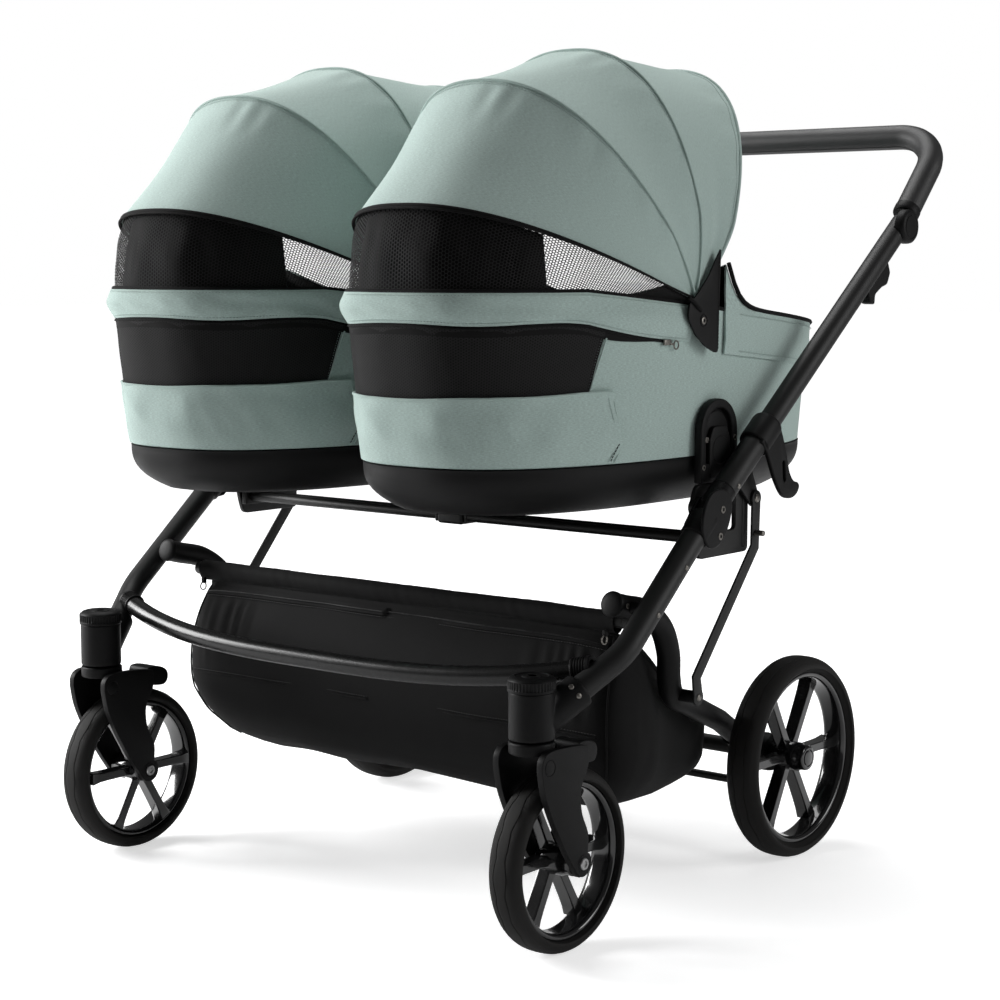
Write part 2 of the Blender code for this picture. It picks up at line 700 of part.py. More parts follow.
def crossbar_end():
    """Half width and height of the crossbar's ends, from the side tubes they meet."""
    hub, corner, _ = side_path(1)
    meeting = hub.lerp(corner, (CROSSBAR_Y - hub.y) / (corner.y - hub.y))
    return meeting.x - CROSSBAR_INSIDE, meeting.z - CROSSBAR_BELOW


def crossbar():
    """Bowed tube between the side tubes, in front of the feet."""
    half, height = crossbar_end()
    points = []
    for i in range(19):
        share = -1 + 2 * i / 18
        bow = 1 - abs(share) ** 3
        points.append((half * share, CROSSBAR_Y - CROSSBAR_BOW * bow,
                       height - CROSSBAR_DROP * bow))
    item = tube("crossbar", points, CROSSBAR_RADIUS, 3)
    for label, side in SIDES:
        hub, corner, _ = side_path(side)
        start = on_line(hub, corner, 0.03)
        reach = (corner - hub).length + SIDE_TUBE_RADIUS
        cut(item, cylinder("saddle_" + label, start, on_line(hub, corner, reach),
                           SIDE_TUBE_RADIUS + 2 * GAP, 16))
    return item


def trim_crossbar(item):
    """Take off the stubs that would be left beyond the side tubes."""
    for label, side in SIDES:
        half, height = crossbar_end()
        near = side * (half - 0.002)
        cut(item, box("stub_" + label, (near, CROSSBAR_Y - 0.053, height - 0.038),
                      (side * (SIDE_X + 0.033), CROSSBAR_Y + 0.057, height + 0.032)))
    return dress(item, "front_crossbar", "frame_black")


def carrier_bars():
    """Two bars across the chassis, with the clamp and saddle at their middle."""
    half = BRACKET_X - GAP
    bars = []
    for way in (-1, 1):
        y = BAR_Y + way * BAR_SPACING / 2
        bars.append(cylinder("bar_%d" % way, (-half, y, BAR_Z), (half, y, BAR_Z), BAR_RADIUS, 12))
    clamp = box("clamp", (-0.022, BAR_Y - 0.021, BAR_Z - 0.0105), (0.022, BAR_Y + 0.021, BAR_Z + 0.0105))
    post = box("post", (-0.014, BAR_Y - 0.012, BAR_Z), (0.014, BAR_Y + 0.012, TUB_BOTTOM - 0.004))
    saddle = box("saddle_plate", (-0.105, BAR_Y - 0.030, TUB_BOTTOM - 0.0065),
                 (0.105, BAR_Y + 0.030, TUB_BOTTOM - GAP))
    join(clamp, bars[0], bars[1], post, saddle)
    return dress(clamp, "carrier_bars", "frame_black")


def axle_centre(side):
    return Vector((side * SOCKET_X, WHEELBASE, REAR_RADIUS))


def leg_knee(side):
    x, y, z = LEG_KNEE
    return Vector((side * x, y, z))


def leg_points(side):
    """The S-shaped rear leg, from its cap to its end in the hub's socket."""
    knee = leg_knee(side)
    end = on_line(axle_centre(side), knee, LEG_END_GAP)
    y, z = LEG_PIVOT
    points = [(LEG_X, y - 0.025, z + 0.0065), (LEG_X, y, z), (LEG_X, y + 0.042, z - 0.0105),
              (LEG_X, y + 0.078, z - 0.0345), (LEG_X - 0.001, y + 0.096, z - 0.0685),
              (LEG_X - 0.005, y + 0.104, z - 0.1025), (LEG_X - 0.016, y + 0.130, z - 0.1305),
              (LEG_X - 0.036, y + 0.197, z - 0.1555)]
    path = smooth([(side * x, py, pz) for x, py, pz in points] + [knee], 2)
    return path + [end]


def rear_leg(label, side):
    leg = tube("leg", leg_points(side), LEG_RADIUS, 3)
    join(leg,
         cylinder("leg_pin_" + label, yz(side * (LEG_X + 0.004), LEG_PIVOT),
                  yz(side * (SIDE_X - GAP), LEG_PIVOT), PIVOT_PIN_RADIUS, 12),
         cylinder("strut_boss_" + label, yz(side * (LEG_X - 0.012), STRUT_FOOT),
                  yz(side * (STRUT_X - GAP), STRUT_FOOT), STRUT_BOSS_RADIUS, 12))
    return dress(leg, "rear_leg_" + label, "black_plastic", yz(side * LEG_X, LEG_PIVOT))


def rear_axle():
    """Axle tube with its drums, leg sockets, stub axles and brake-bar ears."""
    y, z = WHEELBASE, REAR_RADIUS
    item = cylinder("axle_tube", (-DRUM_INNER_X - 0.01, y, z), (DRUM_INNER_X + 0.01, y, z),
                    AXLE_TUBE_RADIUS, 14)
    for label, side in SIDES:
        knee = leg_knee(side)
        centre = axle_centre(side)
        join(item,
             cylinder("drum_" + label, (side * DRUM_INNER_X, y, z), (side * DRUM_OUTER_X, y, z),
                      DRUM_RADIUS, 16),
             cylinder("leg_socket_" + label, on_line(centre, knee, LEG_SOCKET_LENGTH), centre,
                      LEG_SOCKET_RADIUS, 14),
             cylinder("stub_axle_" + label, (side * (DRUM_OUTER_X - 0.01), y, z),
                      (side * (REAR_TRACK / 2 + 0.0215), y, z), AXLE_RADIUS, 12))
        ear = plate("brake_ear_" + label, capsule(BRAKE_AXIS, (y, z), 0.0120, 0.0180),
                    side * (DRUM_INNER_X + 0.001), side * (DRUM_INNER_X + 0.001 + BRAKE_EAR_THICKNESS))
        cut(ear, cylinder("ear_bore_" + label, yz(side * 0.27, BRAKE_AXIS), yz(side * 0.31, BRAKE_AXIS),
                          BRAKE_BAR_RADIUS + GAP, 12))
        join(item, ear)
        cut(item,
            cylinder("leg_bore_" + label, on_line(centre, knee, LEG_END_GAP - GAP),
                     on_line(centre, knee, LEG_SOCKET_LENGTH + 0.02), LEG_RADIUS + 3 * GAP, 14),
            cylinder("brake_bore_" + label, yz(side * 0.27, BRAKE_AXIS), yz(side * 0.2947, BRAKE_AXIS),
                     BRAKE_BAR_RADIUS + GAP, 12))
    return dress(item, "rear_axle", "black_plastic", (0, y, z))


def brake_bar():
    """Brake rod with the foot pedal at its middle."""
    y, z = BRAKE_AXIS
    end = DRUM_INNER_X + 0.001 + BRAKE_EAR_THICKNESS
    item = cylinder("rod", (-end, y, z), (end, y, z), BRAKE_BAR_RADIUS, 12)
    heel = (y + PEDAL_LENGTH, z - 0.004)
    outline = arc(BRAKE_AXIS, 0.010, 60, 270, 6)
    outline += [(y + 0.050, z - 0.0140), (heel[0], heel[1] - 0.002), (heel[0] + 0.010, heel[1] + 0.006),
                (heel[0] + 0.004, heel[1] + 0.012), (heel[0] - 0.010, heel[1] + 0.004)]
    join(item, plate("pedal", outline, -PEDAL_HALF_WIDTH, PEDAL_HALF_WIDTH))
    return dress(item, "brake_pedal", "black_plastic", (0, y, z))


def between(table, place):
    """Read a table of (place, value) pairs, straight between its rows."""
    for (low, first), (high, last) in zip(table, table[1:]):
        if place <= high:
            return first + (last - first) * (place - low) / (high - low)
    return table[-1][1]


def basket_ring(inset, height, narrow, lift=0.0):
    """A ring of the bag; height runs from 0 at the floor to 1 at the sloping top edge."""
    ring = []
    count = 28
    depth = (BASKET_BACK - BASKET_FRONT) / 2 - inset - narrow * 0.7
    middle = (BASKET_BACK + BASKET_FRONT) / 2
    for i in range(count):
        angle = 2 * math.pi * (i + 0.5) / count
        y = middle + depth * signed_power(math.sin(angle), 2 / BASKET_CORNER)
        half = between(BASKET_HALVES, y) - inset - narrow
        share = (y - BASKET_FRONT) / (BASKET_BACK - BASKET_FRONT)
        top = BASKET_RAIL[1] + (BASKET_BACK_TOP - BASKET_RAIL[1]) * min(1, share * 1.35)
        floor = BASKET_FLOOR + (BASKET_FLOOR_FRONT - BASKET_FLOOR) * max(0, 1 - 2 * share) + lift
        ring.append((half * signed_power(math.cos(angle), 2 / BASKET_CORNER), y,
                     floor + (top - floor) * height))
    return ring


def basket():
    """Bag with an open top, hung from a rail between the rear legs."""
    wall = BASKET_WALL
    profile = ((0.0, 0.075), (0.08, 0.030), (0.35, 0.004), (1.0, 0.0))
    outside = [basket_ring(0, height, narrow) for height, narrow in profile]
    inside = [basket_ring(wall, height, narrow, wall) for height, narrow in profile]
    bag = loft("bag", outside + inside[::-1])
    join(bag, cylinder("basket_rail", yz(-BASKET_RAIL_HALF, BASKET_RAIL),
                       yz(BASKET_RAIL_HALF, BASKET_RAIL), BASKET_RAIL_RADIUS, 12))
    return dress(bag, "basket", "black_fabric")


def strut(label, side):
    """Flat folding strut with its eye round the upper frame's pin."""
    points = [STRUT_TOP, (STRUT_TOP[0] - 0.002, STRUT_TOP[1] - 0.062),
              (STRUT_FOOT[0] - 0.004, STRUT_FOOT[1] + 0.026), STRUT_FOOT]
    item = plate("strap", strap(points, STRUT_HALF_WIDTH, STRUT_EYE), side * STRUT_X,
                 side * (STRUT_X + STRUT_THICKNESS))
    cut(item, cylinder("strut_bore_" + label, yz(side * 0.40, STRUT_TOP), yz(side * 0.42, STRUT_TOP),
                       PIVOT_PIN_RADIUS + GAP, 12))
    return dress(item, "strut_" + label, "frame_black", yz(side * STRUT_X, STRUT_TOP))


def upper_tube(label, side):
    """Upper side tube with its hinge eye, strut lug, carry hook and handle joint."""
    x = side * SIDE_X
    item = cylinder("thick", yz(x, FOLD_PIVOT), yz(x, upper_point(UPPER_THICK_LENGTH)), UPPER_RADIUS, 16)
    lug = [upper_point(LUG_PLACE - LUG_HALF_WIDTH), upper_point(LUG_PLACE + LUG_HALF_WIDTH)]
    angle = heading(FOLD_PIVOT, HANDLE_PIVOT)
    lug += arc(STRUT_TOP, LUG_EYE, angle, angle - 180, 7)
    join(item,
         cylinder("eye_" + label, yz(side * (SIDE_X - HINGE_HALF_WIDTH), FOLD_PIVOT),
                  yz(side * (SIDE_X + HINGE_HALF_WIDTH), FOLD_PIVOT), UPPER_RADIUS, 16),
         cylinder("thin_" + label, yz(x, upper_point(UPPER_THICK_LENGTH - 0.02)),
                  yz(x, HANDLE_PIVOT), THIN_RADIUS, 16),
         plate("lug_" + label, lug, side * LUG_X, side * (LUG_X + LUG_THICKNESS)),
         cylinder("strut_pin_" + label, yz(side * (LUG_X + 0.002), STRUT_TOP),
                  yz(side * (STRUT_X + STRUT_THICKNESS), STRUT_TOP), PIVOT_PIN_RADIUS, 12))
    hook = [upper_point(HOOK_PLACE - 0.030, -0.010), upper_point(HOOK_PLACE - 0.034, -0.030),
            upper_point(HOOK_PLACE - 0.026, -0.038), upper_point(HOOK_PLACE - 0.018, -0.027),
            upper_point(HOOK_PLACE + 0.014, -0.036), upper_point(HOOK_PLACE + 0.032, -0.028),
            upper_point(HOOK_PLACE + 0.036, -0.010)]
    join(item,
         plate("hook_" + label, hook, side * (SIDE_X - 0.007), side * (SIDE_X + 0.007)),
         cylinder("joint_disc_" + label, yz(side * (SIDE_X - JOINT_DISC_WIDTH), HANDLE_PIVOT),
                  yz(side * (SIDE_X - GAP), HANDLE_PIVOT), JOINT_DISC_RADIUS, 16))
    cut(item,
        cylinder("inner_cheek_room_" + label, yz(side * 0.39, FOLD_PIVOT),
                 yz(side * (SIDE_X - HINGE_HALF_WIDTH), FOLD_PIVOT), SHELL_EYE + 3 * GAP, 16),
        cylinder("outer_cheek_room_" + label, yz(side * (SIDE_X + HINGE_HALF_WIDTH), FOLD_PIVOT),
                 yz(side * 0.46, FOLD_PIVOT), SHELL_EYE + 3 * GAP, 16),
        cylinder("fold_bore_" + label, yz(side * 0.39, FOLD_PIVOT), yz(side * 0.46, FOLD_PIVOT),
                 PIVOT_PIN_RADIUS + GAP, 12),
        cylinder("disc_room_" + label, yz(side * (SIDE_X - GAP), HANDLE_PIVOT),
                 yz(side * 0.46, HANDLE_PIVOT), JOINT_DISC_RADIUS + 0.0010, 18),
        cylinder("handle_pin_bore_" + label, yz(side * (SIDE_X - 0.011), HANDLE_PIVOT),
                 yz(side * 0.46, HANDLE_PIVOT), PIVOT_PIN_RADIUS + GAP, 12))
    return dress(item, "upper_tube_" + label, "frame_black", yz(x, FOLD_PIVOT))


def collar(label, side):
    """Sliding lock collar with its pull lever."""
    x = side * SIDE_X
    half = COLLAR_LENGTH / 2
    item = cylinder("sleeve", yz(x, upper_point(COLLAR_PLACE - half)),
                    yz(x, upper_point(COLLAR_PLACE + half)), COLLAR_RADIUS, 18)
    lever = [upper_point(COLLAR_PLACE - half + 0.002, -0.0185),
             upper_point(COLLAR_PLACE - half + 0.004, -0.024),
             upper_point(COLLAR_PLACE - 0.016, -0.060), upper_point(COLLAR_PLACE - 0.022, -0.092),
             upper_point(COLLAR_PLACE - 0.014, -0.104), upper_point(COLLAR_PLACE - 0.002, -0.108),
             upper_point(COLLAR_PLACE + 0.010, -0.102), upper_point(COLLAR_PLACE + 0.013, -0.090),
             upper_point(COLLAR_PLACE + 0.003, -0.078), upper_point(COLLAR_PLACE + 0.006, -0.050),
             upper_point(COLLAR_PLACE + half - 0.003, -0.026),
             upper_point(COLLAR_PLACE + half - 0.002, -0.0185)]
    join(item, plate("collar_lever_" + label, lever, side * (SIDE_X - 0.0030), side * (SIDE_X + 0.0035)))
    slot = capsule(upper_point(COLLAR_PLACE - 0.005, -0.050), upper_point(COLLAR_PLACE - 0.009, -0.074),
                   0.0026, 0.0026, 4)
    cut(item,
        cylinder("collar_bore_" + label, yz(x, upper_point(0.1)), yz(x, upper_point(0.2)),
                 UPPER_RADIUS + GAP, 20),
        plate("collar_slot_" + label, slot, side * (SIDE_X - 0.01), side * (SIDE_X + 0.01)))
    return dress(item, "lock_collar_" + label, "black_plastic", yz(x, upper_point(COLLAR_PLACE)))


def handle_bar():
    """Padded U-shaped handle that swings on the two joints."""
    corners = []
    for side in (-1, 1):
        ends = [Vector(yz(side * SIDE_X, HANDLE_PIVOT)), Vector((side * SIDE_X, HANDLE_Y, HANDLE_Z))]
        corners += ends if side < 0 else ends[::-1]
    item = tube("grip", bent(corners, HANDLE_BEND, 5), GRIP_RADIUS, 3)
    for label, side in SIDES:
        cut(item, cylinder("grip_room_" + label, yz(side * 0.40, HANDLE_PIVOT),
                           yz(side * (SIDE_X + GAP), HANDLE_PIVOT), JOINT_DISC_RADIUS + 0.0010, 18))
        join(item,
             cylinder("handle_disc_" + label, yz(side * (SIDE_X + GAP), HANDLE_PIVOT),
                      yz(side * (SIDE_X + JOINT_DISC_WIDTH), HANDLE_PIVOT), JOINT_DISC_RADIUS, 16),
             cylinder("handle_pin_" + label, yz(side * (SIDE_X - 0.010), HANDLE_PIVOT),
                      yz(side * (SIDE_X + 0.004), HANDLE_PIVOT), PIVOT_PIN_RADIUS, 12))
    return dress(item, "handle_bar", "black_plastic", yz(0, HANDLE_PIVOT))


def rim_height(y):
    """Height of the rim, which falls toward the foot end."""
    share = (y - RIM_SLOPE_START) / (COT_Y + RIM_HALF_LENGTH - RIM_SLOPE_START)
    return RIM_HEAD + (RIM_FOOT - RIM_HEAD) * max(0.0, share)


def on_rim(ring, above=0.0):
    """Lift a plan ring to the rim's height."""
    return [(x, y, rim_height(y) + above) for x, y, _ in ring]


def cot_shell(label, side):
    """Tub, cloth wall, mattress and adapter of one carrycot."""
    middle = (side * COT_X, COT_Y)
    width, length = COT_HALF_WIDTH, COT_HALF_LENGTH
    depth = TUB_TOP - TUB_BOTTOM
    steps = [(0.040, 0.047, 0.0), (0.012, 0.016, 0.25), (0.003, 0.004, 0.6), (0.0, 0.0, 1.0)]
    outside = [oval(middle, width - dx, length - dy, TUB_BOTTOM + depth * share)
               for dx, dy, share in steps]
    inside = [oval(middle, width - dx - TUB_WALL, length - dy - TUB_WALL,
                   TUB_BOTTOM + TUB_WALL + (depth - TUB_WALL) * share) for dx, dy, share in steps]
    tub = loft("tub", outside + inside[::-1])
    dress(tub, "tub_" + label, "black_plastic")

    base = TUB_TOP + GAP
    thick = WALL_THICKNESS
    wall = loft("wall", [oval(middle, width, length, base),
                         on_rim(oval(middle, RIM_HALF_WIDTH, RIM_HALF_LENGTH, 0)),
                         on_rim(oval(middle, RIM_HALF_WIDTH - thick, RIM_HALF_LENGTH - thick, 0)),
                         oval(middle, width - thick, length - thick, base)], closed=True)
    reach = RIM_HALF_WIDTH + BOW_ARM_CLEARANCE + 2 * LAYER_STEP + BOW_LAYER
    for way in (-1, 1):
        pin_start = side * COT_X + way * (RIM_HALF_WIDTH - thick / 2)
        join(wall, cylinder("hood_pin_%s_%d" % (label, way), yz(pin_start, HOOD_PIVOT),
                            yz(side * COT_X + way * reach, HOOD_PIVOT), HOOD_PIN_RADIUS, 10))
    dress(wall, "cot_wall_" + label, "sage_fabric")

    floor = TUB_BOTTOM + TUB_WALL + GAP
    mattress = loft("mattress", [oval(middle, width - 0.050, length - 0.058, floor),
                                 oval(middle, width - 0.020, length - 0.024, floor + 0.016),
                                 oval(middle, width - 0.012, length - 0.016, MATTRESS_TOP - 0.010),
                                 oval(middle, width - 0.024, length - 0.028, MATTRESS_TOP),
                                 oval(middle, width * 0.5, length * 0.6, MATTRESS_TOP + 0.004)])
    dress(mattress, "mattress_" + label, "liner_fabric")

    low = BRACKET_TOP + GAP
    inner = COT_X + COT_HALF_WIDTH + (RIM_HALF_WIDTH - COT_HALF_WIDTH) * 0.5
    outer = inner + ADAPTER_THICKNESS
    corner_radius = (ADAPTER_BACK - ADAPTER_FRONT) / 2
    centre = ((ADAPTER_FRONT + ADAPTER_BACK) / 2, ADAPTER_TOP - corner_radius)
    outline = [(ADAPTER_FRONT, low), (ADAPTER_BACK, low)] + arc(centre, corner_radius, 0, 180, 9)
    adapter = plate("adapter", outline, side * inner, side * outer)
    dress(adapter, "adapter_" + label, "black_plastic")


def arch_point(side, arch, share, shrink=0.0, first=None):
    """A point of a hood arch; share runs from 0 to 1, starting at a distance from the pivot."""
    height, lean = arch[0] - shrink, math.radians(arch[1])
    half = HOOD_HALF_WIDTH - shrink
    start = math.asin(((first or CANOPY_START) / height) ** (HOOD_POWER / 2))
    angle = start + (math.pi - 2 * start) * share
    across = half * signed_power(math.cos(angle), 2 / HOOD_POWER)
    reach = height * math.sin(angle) ** (2 / HOOD_POWER)
    return (side * COT_X + across, HOOD_PIVOT[0] - reach * math.sin(lean),
            HOOD_PIVOT[1] + reach * math.cos(lean))


def hood_bow(label, side, name, arch, layer):
    """One folding hood bow with a flat arm and a disc at each pivot."""
    shrink = CLOTH + BOW_CLEARANCE + BOW_RADIUS
    points = [arch_point(side, arch, i / ARCH_STEPS, shrink, BOW_ARM) for i in range(ARCH_STEPS + 1)]
    item = tube("bow", points, BOW_RADIUS, 1)
    lean = math.radians(arch[1])
    arm = BOW_ARM + BOW_ARM_END
    tip = (HOOD_PIVOT[0] - arm * math.sin(lean), HOOD_PIVOT[1] + arm * math.cos(lean))
    for way in (-1, 1):
        start = RIM_HALF_WIDTH + BOW_ARM_CLEARANCE + layer * LAYER_STEP
        low, high = side * COT_X + way * start, side * COT_X + way * (start + BOW_LAYER)
        join(item, plate("%s_arm_%s_%d" % (name, label, way),
                         capsule(HOOD_PIVOT, tip, BOW_DISC_RADIUS, BOW_ARM_END), low, high))
    across = HOOD_HALF_WIDTH + 0.01
    cut(item, cylinder("%s_bore_%s" % (name, label), yz(side * COT_X - across, HOOD_PIVOT),
                       yz(side * COT_X + across, HOOD_PIVOT), HOOD_PIN_RADIUS + GAP, 10))
    return dress(item, "%s_%s" % (name, label), "frame_black", yz(side * COT_X, HOOD_PIVOT))


def canopy(label, side, name, front, back, rows):
    """Cloth panel of the hood between two arches."""
    grid = []
    first = (front[0], front[1] - CANOPY_INSET)
    last = (back[0], back[1] + CANOPY_INSET)
    for j in range(rows + 1):
        row = []
        for i in range(ARCH_STEPS + 1):
            start = Vector(arch_point(side, first, i / ARCH_STEPS, CLOTH / 2))
            end = Vector(arch_point(side, last, i / ARCH_STEPS, CLOTH / 2))
            row.append(start.lerp(end, j / rows))
        grid.append(row)
    item = sheet("cloth", grid, CLOTH)
    return dress(item, "%s_%s" % (name, label), "sage_fabric")


def vent_panel(label, side):
    """Mesh window between the rim at the head end and the hood's zip line."""
    top, bottom = [], []
    count = 16
    clear = RIM_HALF_WIDTH - WALL_THICKNESS / 2
    for i in range(count + 1):
        share = 0.035 + 0.93 * i / count
        upper = arch_point(side, (TRIM_ARCH[0], TRIM_ARCH[1] + 0.5), share, 0.0085)
        top.append(upper)
        angle = math.pi * (0.12 + 0.76 * i / count)
        y = COT_Y - (RIM_HALF_LENGTH - WALL_THICKNESS / 2) * math.sin(angle) ** (2 / COT_POWER)
        bottom.append((side * COT_X + clear * signed_power(math.cos(angle), 2 / COT_POWER), y,
                       rim_height(y) + VENT_CLEARANCE))
    middle = [tuple((Vector(a) + Vector(b)) / 2) for a, b in zip(top, bottom)]
    item = sheet("mesh", [bottom, middle, top], 0.0024)
    return dress(item, "vent_panel_" + label, "black_mesh")


def apron(label, side):
    """Cover over the foot end, with a skirt outside the rim."""
    front = HOOD_PIVOT[0] + APRON_FRONT
    out = APRON_OFFSET + CLOTH / 2
    edge = oval((0, COT_Y), RIM_HALF_WIDTH + out, RIM_HALF_LENGTH + out, 0.0)[:14]
    edge = [(edge[0][0], front, 0.0)] + edge + [(edge[-1][0], front, 0.0)]
    levels = [(1.0, -APRON_SKIRT), (1.0, GAP), (0.970, 0.008), (0.72, APRON_CROWN - 0.002),
              (0.30, APRON_CROWN)]
    grid = []
    for scale, height in levels:
        row = []
        for x, y, _ in edge:
            near = math.exp(-((y - front) / APRON_FLAP_DEPTH) ** 2) * (x / RIM_HALF_WIDTH) ** 2
            z = rim_height(y) + height + (APRON_LIFT * near if height > GAP else 0.0)
            lean = max(0.0, z - HOOD_PIVOT[1]) * math.tan(math.radians(-OPEN_ARCH[1]))
            far = (y - front) / (edge[7][1] - front)
            row.append((side * COT_X + x * scale, front + (y - front) * scale + lean * (1 - far), z))
        grid.append(row)
    item = sheet("apron", grid, CLOTH)
    return dress(item, "apron_" + label, "sage_fabric")


def carrycot(label, side):
    cot_shell(label, side)
    hood_bow(label, side, "hood_bow_low", LOW_ARCH, 0)
    hood_bow(label, side, "hood_bow_mid", MID_ARCH, 1)
    hood_bow(label, side, "hood_bow_open", OPEN_ARCH, 2)
    canopy(label, side, "canopy_head", TRIM_ARCH, LOW_ARCH, 3)
    canopy(label, side, "canopy_top", LOW_ARCH, MID_ARCH, 2)
    canopy(label, side, "canopy_back", MID_ARCH, OPEN_ARCH, 2)
    vent_panel(label, side)
    apron(label, side)


def rear_wheel(label, side):
    half = REAR_TRACK / 2
    rim("rear_rim_" + label, side, REAR_TRACK, WHEELBASE, REAR_RADIUS,
        DRUM_OUTER_X + GAP - half, 0.0262, 0.0218)
    tyre("rear_tyre_" + label, side, REAR_TRACK, WHEELBASE, REAR_RADIUS, REAR_TYRE_WIDTH)


def centre_on_floor():
    """Hang the pram on one empty, with the middle of its box over the origin."""
    bpy.context.view_layer.update()
    graph = bpy.context.evaluated_depsgraph_get()
    reach = []
    for item in PRAM.objects:
        shape = item.evaluated_get(graph)
        reach += [(item.matrix_world @ vertex.co).y for vertex in shape.data.vertices]
    frame = bpy.data.objects.new("pram_origin", None)
    for item in list(PRAM.objects) + list(CUTTERS.objects):
        item.parent = frame
    PRAM.objects.link(frame)
    frame.location = (0, -(min(reach) + max(reach)) / 2, 0)


def main():
    for label, side in SIDES:
        front_unit(label, side)
        chassis_side(label, side)
        rear_leg(label, side)
        rear_wheel(label, side)
        strut(label, side)
        upper_tube(label, side)
        collar(label, side)
        carrycot(label, side)
    trim_crossbar(crossbar())
    carrier_bars()
    rear_axle()
    brake_bar()
    basket()
    handle_bar()
    centre_on_floor()


main()
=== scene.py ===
"""Twin pram: the finished look of every piece, set on the fixed frame.

Metres, +Z up, front swivel wheels toward -Y, handle toward +Y, left is +X.
Pieces are shaped with Y = 0 at the front axles, and settle() moves them to the frame.
"""
import math

import bpy
from bpy.props import FloatProperty, FloatVectorProperty, IntProperty, PointerProperty
from mathutils import Matrix, Vector, noise


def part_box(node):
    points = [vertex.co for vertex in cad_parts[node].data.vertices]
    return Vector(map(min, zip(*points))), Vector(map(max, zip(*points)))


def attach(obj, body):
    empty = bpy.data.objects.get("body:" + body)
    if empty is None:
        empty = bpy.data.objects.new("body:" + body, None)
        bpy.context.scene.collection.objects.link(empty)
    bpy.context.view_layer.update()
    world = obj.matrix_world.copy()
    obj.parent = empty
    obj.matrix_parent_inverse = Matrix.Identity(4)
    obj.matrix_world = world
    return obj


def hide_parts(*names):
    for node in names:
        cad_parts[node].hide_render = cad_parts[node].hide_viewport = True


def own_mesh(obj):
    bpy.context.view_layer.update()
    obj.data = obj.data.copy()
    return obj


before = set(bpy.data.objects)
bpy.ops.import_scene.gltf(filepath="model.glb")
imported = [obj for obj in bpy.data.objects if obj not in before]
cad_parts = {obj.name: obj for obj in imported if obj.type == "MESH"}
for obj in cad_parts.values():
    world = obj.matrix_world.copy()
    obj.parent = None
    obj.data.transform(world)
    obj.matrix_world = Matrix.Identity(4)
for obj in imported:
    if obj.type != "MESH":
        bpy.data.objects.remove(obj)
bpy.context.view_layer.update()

bl_info = {"name": "Twin Pram", "version": (1, 0, 0), "blender": (4, 5, 0), "location": "View3D > Sidebar > Pram",
    "description": "Shapes and finishes a side-by-side pram around its frame", "category": "Object"}


def middle_of(node):
    low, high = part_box(node)
    return (Vector(low) + Vector(high)) / 2


# Places that come from the frame
AXLE_Y = middle_of("front_axle_left").y
FRONT_X = middle_of("front_tyre_left").x
REAR_X = middle_of("rear_tyre_left").x
FRONT_RADIUS = middle_of("front_tyre_left").z
REAR_RADIUS = middle_of("rear_tyre_left").z
REAR_Y = middle_of("rear_tyre_left").y - AXLE_Y
COT_X = middle_of("cot_wall_left").x

# Wheels
FRONT_TYRE_WIDTH = 0.0456
REAR_TYRE_WIDTH = 0.048
RIM_SHARE = 0.85
RIM_WIDTH = 0.032
SPOKES = 6
SPOKE_DEPTH = 0.0185
SPOKE_WIDTH = 0.0115
TYRE_STEPS = 216
BAND_HALF = 0.0062           # half width of the smooth tread band
BAND_WAVE = 0.0027
GROOVE = 0.0008

# Swivel units
TRAIL = 0.0517
HOUSING_RADIUS = 0.027
HOUSING_BOTTOM = 0.2632
HOUSING_TOP = 0.338
CAP_HEIGHT = 0.02
SOCKET_HEIGHT = 0.275
SOCKET_RADIUS = 0.021
SOCKET_LENGTH = 0.075
FORK_HALF = 0.0367
FORK_GAP = 0.0267
FORK_BACK = 0.012
FORK_CAP = (-0.0635, 0.236)
LEVER_HALF = 0.019

# Side frame, as Y and Z
SIDE_X = 0.427
TUBE_RADIUS = 0.0155
BEND = (0.0562, 0.3545)
FOLD = (0.236, 0.5085)
LEG_PIVOT = (0.108, 0.3987)
STRUT_TOP = (0.36, 0.51)
STRUT_FOOT = (0.232, 0.272)
HANDLE_PIVOT = (0.695, 0.857)
LOWER_END = 0.032
UPPER_RADIUS = 0.0165
THIN_RADIUS = 0.0145
THICK_LENGTH = 0.158
COLLAR_PLACE = 0.14
COLLAR_LENGTH = 0.041
COLLAR_RADIUS = 0.0205
HOOK_PLACE = 0.478
LUG_X = 0.406
LUG_THICKNESS = 0.005
STRUT_X = 0.4113
STRUT_THICKNESS = 0.0034
HANDLE_Y = 0.82
HANDLE_Z = 0.986
GRIP_RADIUS = 0.0175
HANDLE_BEND = 0.07
DISC_RADIUS = 0.0234
DISC_WIDTH = 0.0198

# Rear frame
LEG_X = 0.388
LEG_RADIUS = 0.015
KNEE = Vector((0.322, 0.42, 0.2))
AXLE_CENTRE = Vector((0.302, REAR_Y, REAR_RADIUS))
LEG_END = 0.052
DRUM_INNER = 0.286
DRUM_OUTER = 0.3347
DRUM_RADIUS = 0.026
BRAKE = (0.507, 0.098)

# Carrier
BAR_Y = 0.263
BAR_Z = 0.467
BRACKET_X = 0.3972
BRACKET_THICKNESS = 0.007


def pick(item, *others):
    """Select these objects alone, with the first one active."""
    for each in bpy.context.selected_objects:
        each.select_set(False)
    for each in (item, *others):
        each.select_set(True)
    bpy.context.view_layer.objects.active = item
    return item


def active():
    return bpy.context.active_object


def change(item, kind, **values):
    """Add a modifier with its values and apply it."""
    modifier = item.modifiers.new(kind.lower(), kind)
    for key, value in values.items():
        setattr(modifier, key, value)
    pick(item)
    bpy.ops.object.modifier_apply(modifier=modifier.name)
    return item


def open_mesh(item, action="SELECT"):
    """Go into edit mode with all of the mesh selected, or none of it."""
    pick(item)
    bpy.ops.object.mode_set(mode="EDIT")
    bpy.ops.mesh.select_all(action=action)


